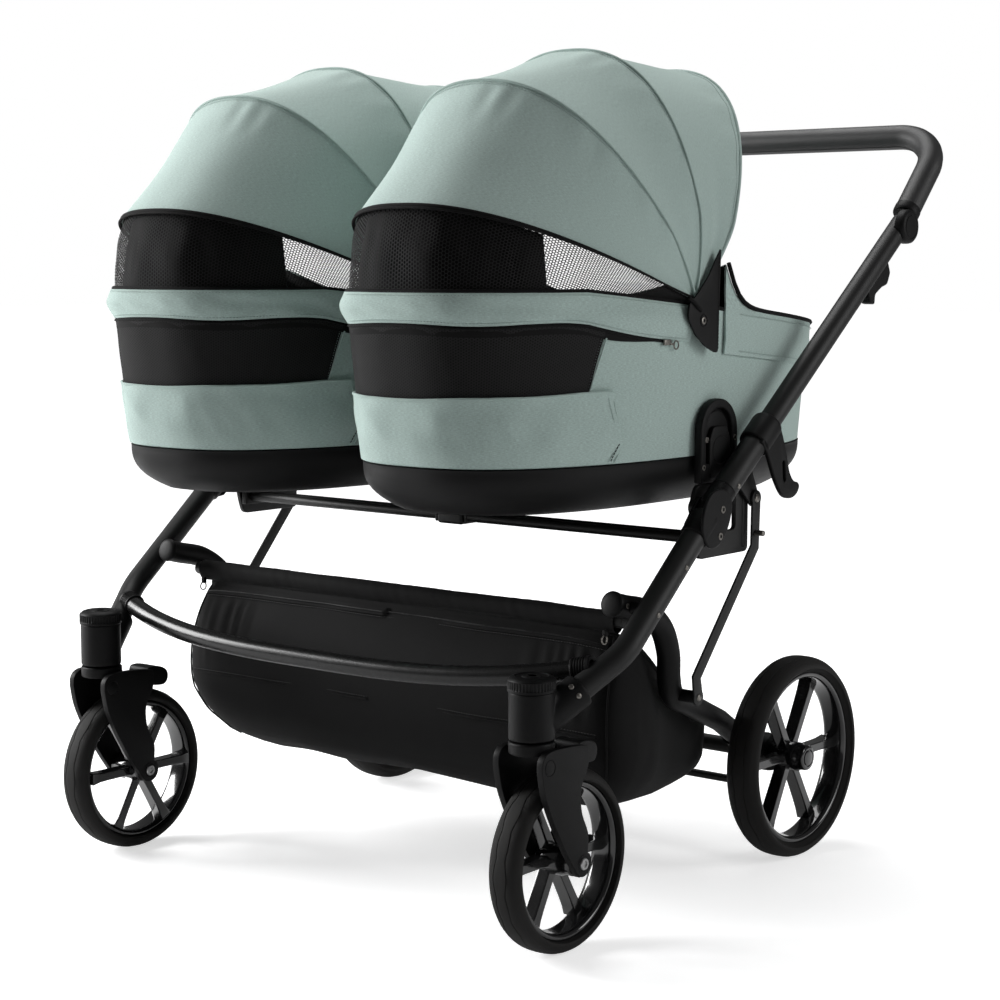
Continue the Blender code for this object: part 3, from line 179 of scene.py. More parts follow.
def close_mesh():
    bpy.ops.object.mode_set(mode="OBJECT")


def tidy(item, distance=0.00002):
    """Merge doubled points and turn the faces outward."""
    open_mesh(item)
    bpy.ops.mesh.remove_doubles(threshold=distance)
    bpy.ops.mesh.normals_make_consistent(inside=False)
    close_mesh()
    return item


def paint(item, material):
    item.data.materials.clear()
    item.data.materials.append(material)
    return item


def smooth(item, angle=40):
    pick(item)
    bpy.ops.object.shade_smooth_by_angle(angle=math.radians(angle))
    return item


def loop_of(points):
    """A closed polyline of points."""
    bpy.ops.mesh.primitive_circle_add(vertices=len(points), radius=1, fill_type="NOTHING")
    item = active()
    for vertex, point in zip(item.data.vertices, points):
        vertex.co = point
    return item


AXES = {"Z": Matrix.Identity(4), "X": Matrix(((0, 0, 1, 0), (1, 0, 0, 0), (0, 1, 0, 0), (0, 0, 0, 1))),
    "Y": Matrix(((0, 1, 0, 0), (0, 0, 1, 0), (1, 0, 0, 0), (0, 0, 0, 1)))}


def spun(profile, centre, axis="X", steps=64):
    """Turn a closed profile of (radius, along) about an axis through the centre."""
    item = loop_of([(radius, 0.0, along) for radius, along in profile])
    open_mesh(item)
    bpy.ops.mesh.spin(steps=steps, angle=2 * math.pi, center=(0, 0, 0), axis=(0, 0, 1))
    close_mesh()
    tidy(item)
    turn = AXES[axis] if isinstance(axis, str) else Vector(axis).to_track_quat("Z", "Y").to_matrix().to_4x4()
    item.data.transform(Matrix.Translation(centre) @ turn)
    return item


def lid(radius, low, high, edge=0.0008):
    """Profile of a disc or short cylinder with rounded edges."""
    return [(0, low), (radius - edge, low), (radius - edge * 0.3, low + edge * 0.3), (radius, low + edge),
        (radius, high - edge), (radius - edge * 0.3, high - edge * 0.3), (radius - edge, high), (0, high)]


def rod(start, end, radius, edge=0.0008, steps=40):
    """A round bar between two points with softened ends."""
    start, end = Vector(start), Vector(end)
    length = (end - start).length
    return spun(lid(radius, 0, length, edge), start, end - start, steps)


def slab(outline, x_low, x_high, bevel=0.0012, rounds=3):
    """A flat outline in the Y-Z plane made thick along X, with rounded edges."""
    low, high = sorted((x_low, x_high))
    bpy.ops.mesh.primitive_circle_add(vertices=len(outline), radius=1, fill_type="NGON")
    item = active()
    for vertex, (y, z) in zip(item.data.vertices, outline):
        vertex.co = (low, y, z)
    open_mesh(item)
    bpy.ops.mesh.extrude_region_move(TRANSFORM_OT_translate={"value": (high - low, 0, 0)})
    bpy.ops.mesh.select_all(action="SELECT")
    bpy.ops.mesh.normals_make_consistent(inside=False)
    close_mesh()
    if bevel:
        soften(item, bevel, rounds, 35)
    return item


def soften(item, width, rounds=3, angle=50):
    """Round the edges that are sharper than the angle."""
    return change(item, "BEVEL", width=width, segments=rounds, limit_method="ANGLE", angle_limit=math.radians(angle))


def block(low, high, bevel=0.0015, rounds=3):
    """A box between two corners, with rounded edges."""
    low, high = Vector(low), Vector(high)
    bpy.ops.mesh.primitive_cube_add(size=1)
    item = active()
    size = [abs(b - a) for a, b in zip(low, high)]
    item.data.transform(Matrix.Translation((low + high) / 2) @ Matrix.Diagonal((*size, 1)))
    if bevel:
        change(item, "BEVEL", width=bevel, segments=rounds)
    return item


def pipe(points, radius, sides=24, closed=False):
    """A round tube through the points."""
    curve = bpy.data.curves.new("pipe", "CURVE")
    curve.dimensions = "3D"
    curve.bevel_depth = radius
    curve.bevel_resolution = max(1, sides // 4 - 1)
    curve.use_fill_caps = not closed
    spline = curve.splines.new("POLY")
    spline.points.add(len(points) - 1)
    for spot, point in zip(spline.points, points):
        spot.co = (*point, 1.0)
    spline.use_cyclic_u = closed
    item = bpy.data.objects.new("pipe", curve)
    bpy.context.scene.collection.objects.link(item)
    pick(item)
    bpy.ops.object.convert(target="MESH")
    return tidy(active())


def net(rows, closed=False, caps=False):
    """A surface through rows of points, with a UV map in metres along and across it."""
    across, along = len(rows[0]), len(rows)
    bpy.ops.mesh.primitive_grid_add(x_subdivisions=across - 1, y_subdivisions=along - 1, size=2)
    item = active()
    mesh = item.data
    places = []
    for vertex in mesh.vertices:
        i = round((vertex.co.x + 1) / 2 * (across - 1))
        j = round((vertex.co.y + 1) / 2 * (along - 1))
        places.append((i, j))
    middle = rows[along // 2]
    wide = [0.0]
    for a, b in zip(middle, middle[1:]):
        wide.append(wide[-1] + (Vector(b) - Vector(a)).length)
    tall = [0.0]
    for a, b in zip(rows, rows[1:]):
        tall.append(tall[-1] + (Vector(b[across // 2]) - Vector(a[across // 2])).length)
    for loop in mesh.loops:
        i, j = places[loop.vertex_index]
        mesh.uv_layers.active.data[loop.index].uv = (wide[i], tall[j])
    for vertex, (i, j) in zip(mesh.vertices, places):
        vertex.co = rows[j][i]
    if closed:
        tidy(item)
    if caps:
        open_mesh(item, "DESELECT")
        bpy.ops.mesh.select_mode(type="EDGE")
        bpy.ops.mesh.select_non_manifold(extend=False)
        bpy.ops.mesh.fill_holes(sides=0)
        bpy.ops.mesh.select_mode(type="VERT")
        close_mesh()
        tidy(item)
    return item


def cut(item, *tools):
    """Take the tools' shapes out of a piece."""
    for tool in tools:
        change(item, "BOOLEAN", operation="DIFFERENCE", solver="EXACT", object=tool)
        bpy.data.objects.remove(tool, do_unlink=True)
    return item


def joined(item, *others):
    """One object of several, each part with its own finish."""
    pick(item, *others)
    bpy.ops.object.join()
    return active()


def cast(item, size=0.0012, rounds=6):
    """Melt overlapping shapes into one casting with soft edges."""
    change(item, "REMESH", mode="VOXEL", voxel_size=size)
    change(item, "SMOOTH", factor=0.5, iterations=rounds)
    return plain_normals(item)


def plain_normals(item):
    pick(item)
    bpy.ops.object.shade_smooth()
    return item


def copy_of(item, place, flip):
    """A copy with its own mesh, moved by a matrix."""
    other = bpy.data.objects.new(item.name, item.data.copy())
    bpy.context.scene.collection.objects.link(other)
    other.data.transform(place)
    if flip:
        other.data.flip_normals()
    return other


MIRROR = Matrix.Diagonal((-1, 1, 1, 1))


def settle(item, name, body, slot, *nodes):
    """Name a finished piece, move it to the frame and tie it to its body."""
    item.name = name
    item.data.name = name
    item.data.transform(Matrix.Translation((0, AXLE_Y, 0)))
    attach(item, body)
    if nodes:
        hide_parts(*nodes)
    return item


def settle_pair(item, name, body, slot, *nodes, shift=None):
    """Settle the left piece and its right-hand twin, mirrored or shifted."""
    place = MIRROR if shift is None else Matrix.Translation((shift, 0, 0))
    other = copy_of(item, place, flip=shift is None)
    for side, piece in (("left", item), ("right", other)):
        rides = body + "_" + side if body in SIDED else body
        settle(piece, name + "_" + side, rides, slot, *[node + "_" + side for node in nodes])
    return item, other


def settle_cots(item, name, slot, *nodes, body="carrycot"):
    """Settle a piece of the left carrycot and its copy in the right one."""
    return settle_pair(item, name, body, slot, *nodes, shift=-2 * COT_X)


SIDED = ("caster", "caster_lock", "front_wheel", "rear_wheel", "strut", "collar", "carrycot", "hood_low", "hood_mid",
    "hood_open")


def arc(centre, radius, start, end, count):
    points = []
    for i in range(count):
        angle = math.radians(start + (end - start) * i / (count - 1))
        points.append((centre[0] + radius * math.cos(angle), centre[1] + radius * math.sin(angle)))
    return points


def heading(start, end):
    return math.degrees(math.atan2(end[1] - start[1], end[0] - start[0]))


def capsule(start, end, start_radius, end_radius, count=14):
    """Outline of a link with a round end at each pivot."""
    angle = heading(start, end)
    return (arc(start, start_radius, angle + 90, angle + 270, count) + arc(end, end_radius, angle - 90, angle + 90,
        count))


def rounded(corners, radius, count=5):
    """A closed outline with every corner rounded."""
    outline = []
    for before, here, after in zip(corners[-1:] + corners[:-1], corners, corners[1:] + corners[:1]):
        before, here, after = Vector(before), Vector(here), Vector(after)
        back, ahead = (before - here), (after - here)
        reach = min(radius, back.length * 0.45, ahead.length * 0.45)
        start, end = here + back.normalized() * reach, here + ahead.normalized() * reach
        for i in range(count):
            t = i / (count - 1)
            outline.append(tuple(start * (1 - t) ** 2 + here * 2 * t * (1 - t) + end * t * t))
    return outline


def flowing(points, steps=4):
    """A smooth curve through the points."""
    points = [Vector(point) for point in points]
    ends = [2 * points[0] - points[1]] + points + [2 * points[-1] - points[-2]]
    path = []
    for a, b, c, d in zip(ends, ends[1:], ends[2:], ends[3:]):
        for i in range(steps):
            t = i / steps
            path.append(0.5 * (2 * b + (c - a) * t + (2 * a - 5 * b + 4 * c - d) * t * t
                + (3 * b - a - 3 * c + d) * t ** 3))
    path.append(points[-1])
    return path


def soft_outline(points, steps, closed=True):
    """A flat outline that flows through the points."""
    points = [(0, *point) for point in points]
    path = flowing(points + points[:1], steps)[:-1] if closed else flowing(points, steps)
    return [tuple(point)[1:] for point in path]


def bent(corners, radius, steps=14):
    """A polyline whose inner corners are rounded, as a bent tube is."""
    corners = [Vector(corner) for corner in corners]
    path = [corners[0]]
    for before, here, after in zip(corners, corners[1:], corners[2:]):
        back, ahead = (before - here).normalized(), (after - here).normalized()
        half = back.angle(ahead) / 2
        reach = radius / math.tan(half)
        centre = here + (back + ahead).normalized() * radius / math.sin(half)
        start = (here + back * reach - centre).normalized()
        end = (here + ahead * reach - centre).normalized()
        for i in range(steps + 1):
            path.append(centre + start.slerp(end, i / steps) * radius)
    path.append(corners[-1])
    return path


def on_line(start, end, distance):
    start, end = Vector(start), Vector(end)
    return start + (end - start).normalized() * distance


def yz(x, point):
    return (x, point[0], point[1])


LOWER_WAY = (Vector(FOLD) - Vector(BEND)).normalized()
UPPER_WAY = (Vector(HANDLE_PIVOT) - Vector(FOLD)).normalized()
UPPER_NORMAL = Vector((-UPPER_WAY.y, UPPER_WAY.x))


def upper_point(along, above=0.0):
    """Y and Z beside the upper tube's axis."""
    return tuple(Vector(FOLD) + UPPER_WAY * along + UPPER_NORMAL * above)


def before_fold(distance, above=0.0):
    normal = Vector((-LOWER_WAY.y, LOWER_WAY.x))
    return tuple(Vector(FOLD) - LOWER_WAY * distance + normal * above)


class Signal:
    """A node socket that takes part in sums."""

    def __init__(self, tree, socket):
        self.tree = tree
        self.socket = socket

    def join(self, operation, *values):
        node = self.tree.nodes.new("ShaderNodeMath")
        node.operation = operation
        for place, value in zip(node.inputs, values):
            if isinstance(value, Signal):
                self.tree.links.new(value.socket, place)
            else:
                place.default_value = value
        return Signal(self.tree, node.outputs[0])

    def __add__(self, other):
        return self.join("ADD", self, other)

    def __sub__(self, other):
        return self.join("SUBTRACT", self, other)

    def __rsub__(self, other):
        return self.join("SUBTRACT", other, self)

    def __mul__(self, other):
        return self.join("MULTIPLY", self, other)

    def __gt__(self, other):
        return self.join("GREATER_THAN", self, other)

    def __lt__(self, other):
        return self.join("LESS_THAN", self, other)

    __radd__ = __add__
    __rmul__ = __mul__

    def sine(self):
        return self.join("SINE", self)

    def cosine(self):
        return self.join("COSINE", self)

    def root(self):
        return self.join("SQRT", self)

    def size(self):
        return self.join("ABSOLUTE", self)

    def least(self, other):
        return self.join("MINIMUM", self, other)

    def most(self, other):
        return self.join("MAXIMUM", self, other)


class Finish:
    """A material that is built up node by node."""

    def __init__(self, name, **base):
        self.material = bpy.data.materials.new(name)
        self.material.use_nodes = True
        self.tree = self.material.node_tree
        self.shader = self.tree.nodes["Principled BSDF"]
        for key, value in base.items():
            self.shader.inputs[key.replace("_", " ")].default_value = value

    def node(self, kind, settings, sockets, output=0):
        """Add a node: its settings first, then the values or links of its sockets."""
        node = self.tree.nodes.new("ShaderNode" + kind)
        for key, value in settings.items():
            if key == "stops":
                ramp = node.color_ramp
                for stop, (place, tone) in zip(ramp.elements, value):
                    stop.position = place
                    stop.color = (tone, tone, tone, 1)
            else:
                setattr(node, key, value)
        for key, value in sockets.items():
            if isinstance(value, Signal):
                self.tree.links.new(value.socket, node.inputs[key])
            else:
                node.inputs[key].default_value = value
        return Signal(self.tree, node.outputs[output])

    def place(self, uv=False):
        coordinates = self.tree.nodes.new("ShaderNodeTexCoord")
        return Signal(self.tree, coordinates.outputs["UV" if uv else "Object"])

    def grain(self, where, scale, detail=2.0, roughness=0.5):
        return self.node("TexNoise", {}, {"Vector": where, "Scale": scale, "Detail": detail, "Roughness": roughness})

    def stretched(self, where, scale):
        return self.node("Mapping", {}, {"Vector": where, "Scale": scale})

    def parts(self, where):
        split = self.tree.nodes.new("ShaderNodeSeparateXYZ")
        self.tree.links.new(where.socket, split.inputs[0])
        return [Signal(self.tree, socket) for socket in split.outputs]

    def blend(self, share, first, second):
        """A colour between two colours; each is a tuple or a signal."""
        return self.node("Mix", {"data_type": "RGBA"}, {0: share, 6: first, 7: second}, output=2)

    def feed(self, socket, signal):
        self.tree.links.new(signal.socket, self.shader.inputs[socket])
        return self

    def raise_by(self, height, strength=0.5, distance=0.001):
        """Bump the surface by a height signal."""
        bump = self.node("Bump", {}, {"Height": height, "Strength": strength, "Distance": distance})
        return self.feed("Normal", bump)


def sage_cloth():
    """Heathered cotton weave in sage green."""
    look = bpy.context.scene.pram_look
    finish = Finish("sage_cloth", Roughness=0.95, Specular_IOR_Level=0.18, Sheen_Weight=0.35, Sheen_Roughness=0.55,
        Sheen_Tint=(0.85, 0.95, 0.9, 1))
    uv = finish.place(uv=True)
    where = finish.place()
    along = finish.grain(finish.stretched(uv, (210, 1700, 1)), 1.0, 2.0)
    across = finish.grain(finish.stretched(uv, (1300, 260, 1)), 1.0, 2.0)
    flecks = finish.node("ValToRGB", {"stops": ((0.4, 0.0), (0.64, 1.0))}, {"Fac": along * 0.72 + across * 0.28})
    cloud = finish.grain(where, 9.0, 3.0)
    base = Vector(look.cloth_colour)
    light = finish.blend(flecks, (*(base * 0.8), 1), (*(base * 1.2), 1))
    finish.feed("Base Color", finish.blend(cloud * 0.35, light, (*base, 1)))
    u, v, _ = finish.parts(uv)
    weave = (u * look.thread_rate).sine() * (v * look.thread_rate).sine()
    height = weave * 0.5 + (along + across) * 0.9
    finish.raise_by(height, 0.35, 0.0004)
    return finish.material


def dark_cloth(name, tone, rate, strength):
    """Plain woven polyester, black."""
    finish = Finish(name, Roughness=0.8, Specular_IOR_Level=0.12, Sheen_Weight=0.02, Sheen_Roughness=0.4)
    uv = finish.place(uv=True)
    where = finish.place()
    fine = finish.grain(where, 900.0, 2.0)
    cloud = finish.grain(where, 14.0, 3.0)
    finish.feed("Base Color", finish.blend(fine * 0.6 + cloud * 0.4, (tone * 0.6, tone * 0.6, tone * 0.62, 1),
        (tone * 1.5, tone * 1.48, tone * 1.5, 1)))
    u, v, _ = finish.parts(uv)
    weave = (u * rate).sine() * (v * rate).sine()
    finish.raise_by(weave * 0.4 + fine, strength, 0.0003)
    return finish.material


def mesh_cloth(name, tone, hole, pitch):
    """Knitted mesh with hexagonal holes that light passes through; a low hole level opens it more."""
    finish = Finish(name, Roughness=0.8, Specular_IOR_Level=0.25)
    uv = finish.place(uv=True)
    u, v, _ = finish.parts(uv)
    turn = 2 * math.pi / pitch
    waves = (u * turn).cosine() + ((u * 0.5 + v * 0.866) * turn).cosine() + ((u * 0.5 - v * 0.866) * turn).cosine()
    thread = waves < hole
    fine = finish.grain(finish.place(), 700.0, 2.0)
    finish.feed("Alpha", thread)
    finish.feed("Base Color", finish.blend(fine, (tone * 0.7, tone * 0.7, tone * 0.7, 1),
        (tone * 1.4, tone * 1.4, tone * 1.42, 1)))
    finish.raise_by(waves * -0.3, 0.3, 0.0005)
    return finish.material


def powder_coat(name="powder_coat", rough=0.4):
    """Fine satin powder coat on tubes and plates."""
    look = bpy.context.scene.pram_look
    tone = look.frame_tone
    finish = Finish(name, Specular_IOR_Level=0.3, Coat_Weight=0.04, Coat_Roughness=0.4)
    where = finish.place()
    fine = finish.grain(where, 1700.0, 2.0)
    cloud = finish.grain(where, 22.0, 3.0)
    finish.feed("Base Color", finish.blend(cloud, (tone * 0.85,) * 3 + (1,), (tone * 1.2,) * 3 + (1,)))
    finish.feed("Roughness", fine * 0.1 + cloud * 0.1 + rough)
    finish.raise_by(fine, 0.16, 0.0003)
    return finish.material


def moulded_plastic():
    """Black plastic with a fine moulded grain."""
    finish = Finish("moulded_plastic", Specular_IOR_Level=0.16)
    where = finish.place()
    grain = finish.node("TexVoronoi", {"feature": "SMOOTH_F1"}, {"Vector": where, "Scale": 1100.0})
    cloud = finish.grain(where, 30.0, 3.0)
    finish.feed("Base Color", finish.blend(cloud, (0.0028, 0.0028, 0.003, 1), (0.0052, 0.0051, 0.0054, 1)))
    finish.feed("Roughness", cloud * 0.12 + grain * 0.1 + 0.4)
    finish.raise_by(grain, 0.22, 0.0003)
    return finish.material


def gloss_plastic():
    """Polished black plastic of the rims, with faint handling marks."""
    finish = Finish("gloss_plastic", Coat_Weight=0.6, Coat_Roughness=0.05)
    where = finish.place()
    cloud = finish.grain(where, 18.0, 4.0)
    fine = finish.grain(where, 400.0, 2.0)
    finish.feed("Base Color", finish.blend(cloud, (0.0042, 0.0042, 0.0045, 1), (0.0075, 0.0075, 0.008, 1)))
    finish.feed("Roughness", cloud * 0.12 + 0.1)
    finish.raise_by(cloud * 0.7 + fine * 0.05, 0.05, 0.0004)
    return finish.material


def foam_rubber():
    """Moulded foam tyre: smooth tread band, cross-hatched shoulders, smooth walls."""
    finish = Finish("foam_rubber", Specular_IOR_Level=0.24)
    where = finish.place()
    u, v, _ = finish.parts(finish.place(uv=True))
    hatch = ((u + v) * 3600.0).sine().most(((u - v) * 3600.0).sine())
    shoulder = (v.size() > 0.0088) * (v.size() < 0.0212)
    dust = finish.grain(where, 45.0, 5.0, 0.65)
    fine = finish.grain(where, 1500.0, 2.0)
    finish.feed("Base Color", finish.blend(dust, (0.006, 0.0058, 0.0056, 1), (0.014, 0.0132, 0.0125, 1)))
    finish.feed("Roughness", dust * 0.18 + 0.6)
    finish.raise_by(hatch * shoulder + fine * 0.25, 0.35, 0.0006)
    return finish.material


def turned_steel():
    """Turned bright steel of the axles."""
    finish = Finish("turned_steel", Metallic=1.0)
    where = finish.place()
    lines = finish.grain(finish.stretched(where, (1, 40, 40)), 60.0, 3.0)
    finish.feed("Base Color", finish.blend(lines, (0.315, 0.315, 0.315, 1), (0.483, 0.483, 0.483, 1)))
    finish.feed("Roughness", lines * 0.2 + 0.3)
    return finish.material


def dark_rivet():
    """Blackened steel of the rivets and screws, rubbed a little bright."""
    finish = Finish("dark_rivet", Metallic=0.8)
    where = finish.place()
    rub = finish.grain(where, 500.0, 3.0)
    finish.feed("Base Color", finish.blend(rub, (0.05, 0.048, 0.045, 1), (0.34, 0.32, 0.29, 1)))
    finish.feed("Roughness", rub * 0.2 + 0.25)
    return finish.material


def liner_cloth():
    """Soft off-white jersey of the mattress."""
    finish = Finish("liner_cloth", Roughness=0.95, Sheen_Weight=0.3)
    where = finish.place()
    rib = finish.grain(finish.stretched(where, (900, 120, 300)), 1.0, 2.0)
    cloud = finish.grain(where, 12.0, 3.0)
    finish.feed("Base Color", finish.blend(cloud, (0.6, 0.59, 0.56, 1), (0.7, 0.69, 0.66, 1)))
    finish.raise_by(rib + cloud, 0.4, 0.0006)
    return finish.material


def grip_foam():
    """Stitched leatherette on the handle."""
    finish = Finish("grip_leather")
    where = finish.place()
    pebble = finish.node("TexVoronoi", {"feature": "DISTANCE_TO_EDGE"}, {"Vector": where, "Scale": 620.0})
    cloud = finish.grain(where, 35.0, 3.0)
    finish.feed("Base Color", finish.blend(cloud, (0.0105, 0.0105, 0.011, 1), (0.018, 0.018, 0.0185, 1)))
    finish.feed("Roughness", cloud * 0.15 + 0.42)
    finish.raise_by(pebble.least(0.25) + cloud * 0.3, 0.45, 0.0005)
    return finish.material


def thread(name, tone):
    finish = Finish(name, Roughness=0.7)
    fine = finish.grain(finish.place(), 2600.0, 2.0)
    light = tuple(min(1.0, part * 1.35) for part in tone)
    finish.feed("Base Color", finish.blend(fine, (*tone, 1), (*light, 1)))
    return finish.material


MAKERS = {"sage": sage_cloth, "lining": lambda: dark_cloth("lining_cloth", 0.0055, 4200.0, 0.25),
    "bag": lambda: dark_cloth("bag_cloth", 0.006, 3600.0, 0.4),
    "tape": lambda: dark_cloth("tape_cloth", 0.007, 2600.0, 0.5),
    "mesh": lambda: mesh_cloth("black_net", 0.01, -0.55, 0.004),
    "close_mesh": lambda: mesh_cloth("close_net", 0.01, 0.9, 0.003), "coat": powder_coat,
    "bar": lambda: powder_coat("bar_coat", 0.17), "plastic": moulded_plastic, "gloss": gloss_plastic,
    "rubber": foam_rubber, "steel": turned_steel, "rivet": dark_rivet, "liner": liner_cloth, "grip": grip_foam,
    "thread": lambda: thread("sage_thread", (0.34, 0.42, 0.4)),
    "dark_thread": lambda: thread("dark_thread", (0.015, 0.015, 0.015))}
MADE = {}


def finish_of(name):
    """One of the pram's finishes, made once."""
    if name not in MADE:
        MADE[name] = MAKERS[name]()
    return MADE[name]


def dress(item, name, angle=35):
    """Shade a piece smooth up to the angle and give it its finish."""
    return paint(smooth(item, angle), finish_of(name))


def rivet(place, way, radius=0.0032, height=0.0014, steps=20):
    """A domed rivet head on a surface, facing along way."""
    profile = [(0, -0.001), (radius, -0.001), (radius, height * 0.25), (radius * 0.8, height * 0.72),
        (radius * 0.45, height * 0.96), (0, height)]
    return dress(spun(profile, place, way, steps), "rivet", 60)


def screw_head(place, way, radius=0.004, height=0.0016):
    """A round screw head with a six-sided socket."""
    profile = [(0, -0.001), (radius, -0.001), (radius, height * 0.6), (radius * 0.86, height),
        (radius * 0.52, height), (radius * 0.5, height * 0.2), (0, height * 0.2)]
    return dress(spun(profile, place, way, 24), "rivet", 35)


class PramLook(bpy.types.PropertyGroup):
    """Sizes and colours that a user would change."""
    cloth_colour: FloatVectorProperty(name="Cloth colour", description="Colour of the outer cloth", subtype="COLOR",
        size=3, min=0.0, max=1.0, default=(0.418, 0.53, 0.497))
    thread_rate: FloatProperty(name="Thread rate", description="Threads of the weave, as an angle for each metre",
        default=5200.0, min=500.0, max=20000.0)
    frame_tone: FloatProperty(name="Frame tone", description="Grey level of the powder coat", default=0.007, min=0.0,
        max=1.0)
    cap_ribs: IntProperty(name="Cap ribs", description="Ribs round the swivel housing's cap", default=44, min=8,
        max=90)
    tread_waves: IntProperty(name="Tread waves", description="Waves of the tread band round a tyre", default=9, min=3,
        max=40)
    stitch: FloatProperty(name="Stitch", description="Length of one stitch with its gap", unit="LENGTH",
        default=0.0042, min=0.001, max=0.02)


def polar_uv(item, centre):
    """UV in metres: round the wheel, and across it from its middle."""
    mesh = item.data
    layer = mesh.uv_layers.active or mesh.uv_layers.new(name="round")
    centre = Vector(centre)
    radius = max((vertex.co - centre).yz.length for vertex in mesh.vertices)
    for face in mesh.polygons:
        middle = face.center - centre
        base = math.atan2(middle.z, middle.y)
        for index in face.loop_indices:
            spot = mesh.vertices[mesh.loops[index].vertex_index].co - centre
            angle = math.atan2(spot.z, spot.y)
            angle += 2 * math.pi * round((base - angle) / (2 * math.pi))
            depth = radius - spot.yz.length
            across = abs(spot.x) + max(0.0, depth - 0.004) * 0.6
            layer.data[index].uv = (angle * radius, math.copysign(across, spot.x))


def make_tyre(centre, width):
    """Foam tyre with a wavy groove on each side of its tread band."""
    waves = bpy.context.scene.pram_look.tread_waves
    radius = centre[2]
    inner = radius * RIM_SHARE + 0.0003
    half = width / 2
    crown = [(0.0, 0.0), (0.0035, 0.00005), (BAND_HALF - 0.0008, 0.0002), (BAND_HALF - 0.0004, 0.0003),
        (BAND_HALF, 0.0003 + GROOVE), (BAND_HALF + 0.0005, 0.0003 + GROOVE), (BAND_HALF + 0.0009, 0.0004),
        (0.0105, 0.0007), (0.014, 0.0017), (0.0172, 0.0034), (0.0198, 0.0056), (half - 0.0012, 0.0082),
        (half - 0.0002, 0.0108), (half, 0.013)]
    depth = radius - inner
    wall = [(half - 0.0006, 0.0148), (half - 0.0008, 0.015), (half - 0.0014, 0.0152), (half - 0.0032, 0.0157),
        (0.0172, depth - 0.0004), (0.016, depth)]
    right = [(radius - drop, x) for x, drop in crown if radius - drop > inner]
    right += [(radius - drop, x) for x, drop in wall if drop <= depth]
    profile = [(r, -x) for r, x in reversed(right[1:])] + right
    item = spun(profile, centre, "X", TYRE_STEPS)
    mid = Vector(centre)
    low, high = BAND_HALF - 0.0009, BAND_HALF + 0.001
    for vertex in item.data.vertices:
        spot = vertex.co - mid
        if low <= abs(spot.x) <= high and spot.yz.length > radius - 0.003:
            angle = math.atan2(spot.z, spot.y) * waves
            lens = abs(math.cos(angle / 2)) ** 1.6
            vertex.co.x += math.copysign(BAND_WAVE * (lens * 1.7 - 1.15), spot.x)
    polar_uv(item, centre)
    return dress(item, "rubber", 42)


def wheel_spoke(centre, inner, outer, turn):
    """A spoke of channel section, open to the outside, wider at its foot."""
    bpy.ops.mesh.primitive_cube_add(size=1)
    item = active()
    item.data.transform(Matrix.Translation((0, 0, (inner + outer) / 2))
        @ Matrix.Diagonal((SPOKE_DEPTH, SPOKE_WIDTH, outer - inner, 1)))
    open_mesh(item)
    bpy.ops.mesh.subdivide(number_cuts=5)
    close_mesh()
    for vertex in item.data.vertices:
        share = (vertex.co.z - inner) / (outer - inner)
        foot = max(0.0, share - 0.72) / 0.28
        root = max(0.0, 0.22 - share) / 0.22
        vertex.co.y *= 1.0 + 0.45 * foot ** 2 + 0.25 * root ** 2
        vertex.co.x *= 0.92 + 0.16 * share
    for face in item.data.polygons:
        face.select = face.normal.x > 0.9
    bpy.ops.object.mode_set(mode="EDIT")
    bpy.ops.mesh.inset(thickness=0.0021)
    bpy.ops.transform.translate(value=(-0.0105, 0, 0))
    close_mesh()
    soften(item, 0.0007, 2, 40)
    item.data.transform(Matrix.Translation(centre) @ Matrix.Rotation(turn, 4, "X"))
    return item


def make_rim(centre, hub):
    """Glossy six-spoke rim with its hub; hub is a profile of (radius, along)."""
    outer = centre[2] * RIM_SHARE
    half = RIM_WIDTH / 2
    ring = [(outer, -half), (outer - 0.0015, -half - 0.0006), (outer - 0.0045, -half - 0.0008),
        (outer - 0.0062, -half + 0.0004), (outer - 0.0078, -half + 0.003), (outer - 0.0085, -half + 0.0065),
        (outer - 0.0085, half - 0.0065), (outer - 0.0078, half - 0.003), (outer - 0.0062, half - 0.0004),
        (outer - 0.0045, half + 0.0008), (outer - 0.0015, half + 0.0006), (outer, half)]
    item = smooth(spun(ring, centre, "X", 120), 50)
    parts = [smooth(spun(hub, centre, "X", 48), 40)]
    for i in range(SPOKES):
        parts.append(smooth(wheel_spoke(centre, 0.01, outer - 0.007, 2 * math.pi * (i + 0.5) / SPOKES), 35))
    return paint(joined(item, *parts), finish_of("gloss"))


TO_CAMERA = Vector((0.595, -0.778, 0.204))
SIDE_HUB = Vector((FRONT_X, -TRAIL, SOCKET_HEIGHT))
SIDE_CORNER = Vector(yz(SIDE_X, BEND))
OUTWARD = Vector((1, 0, 0))


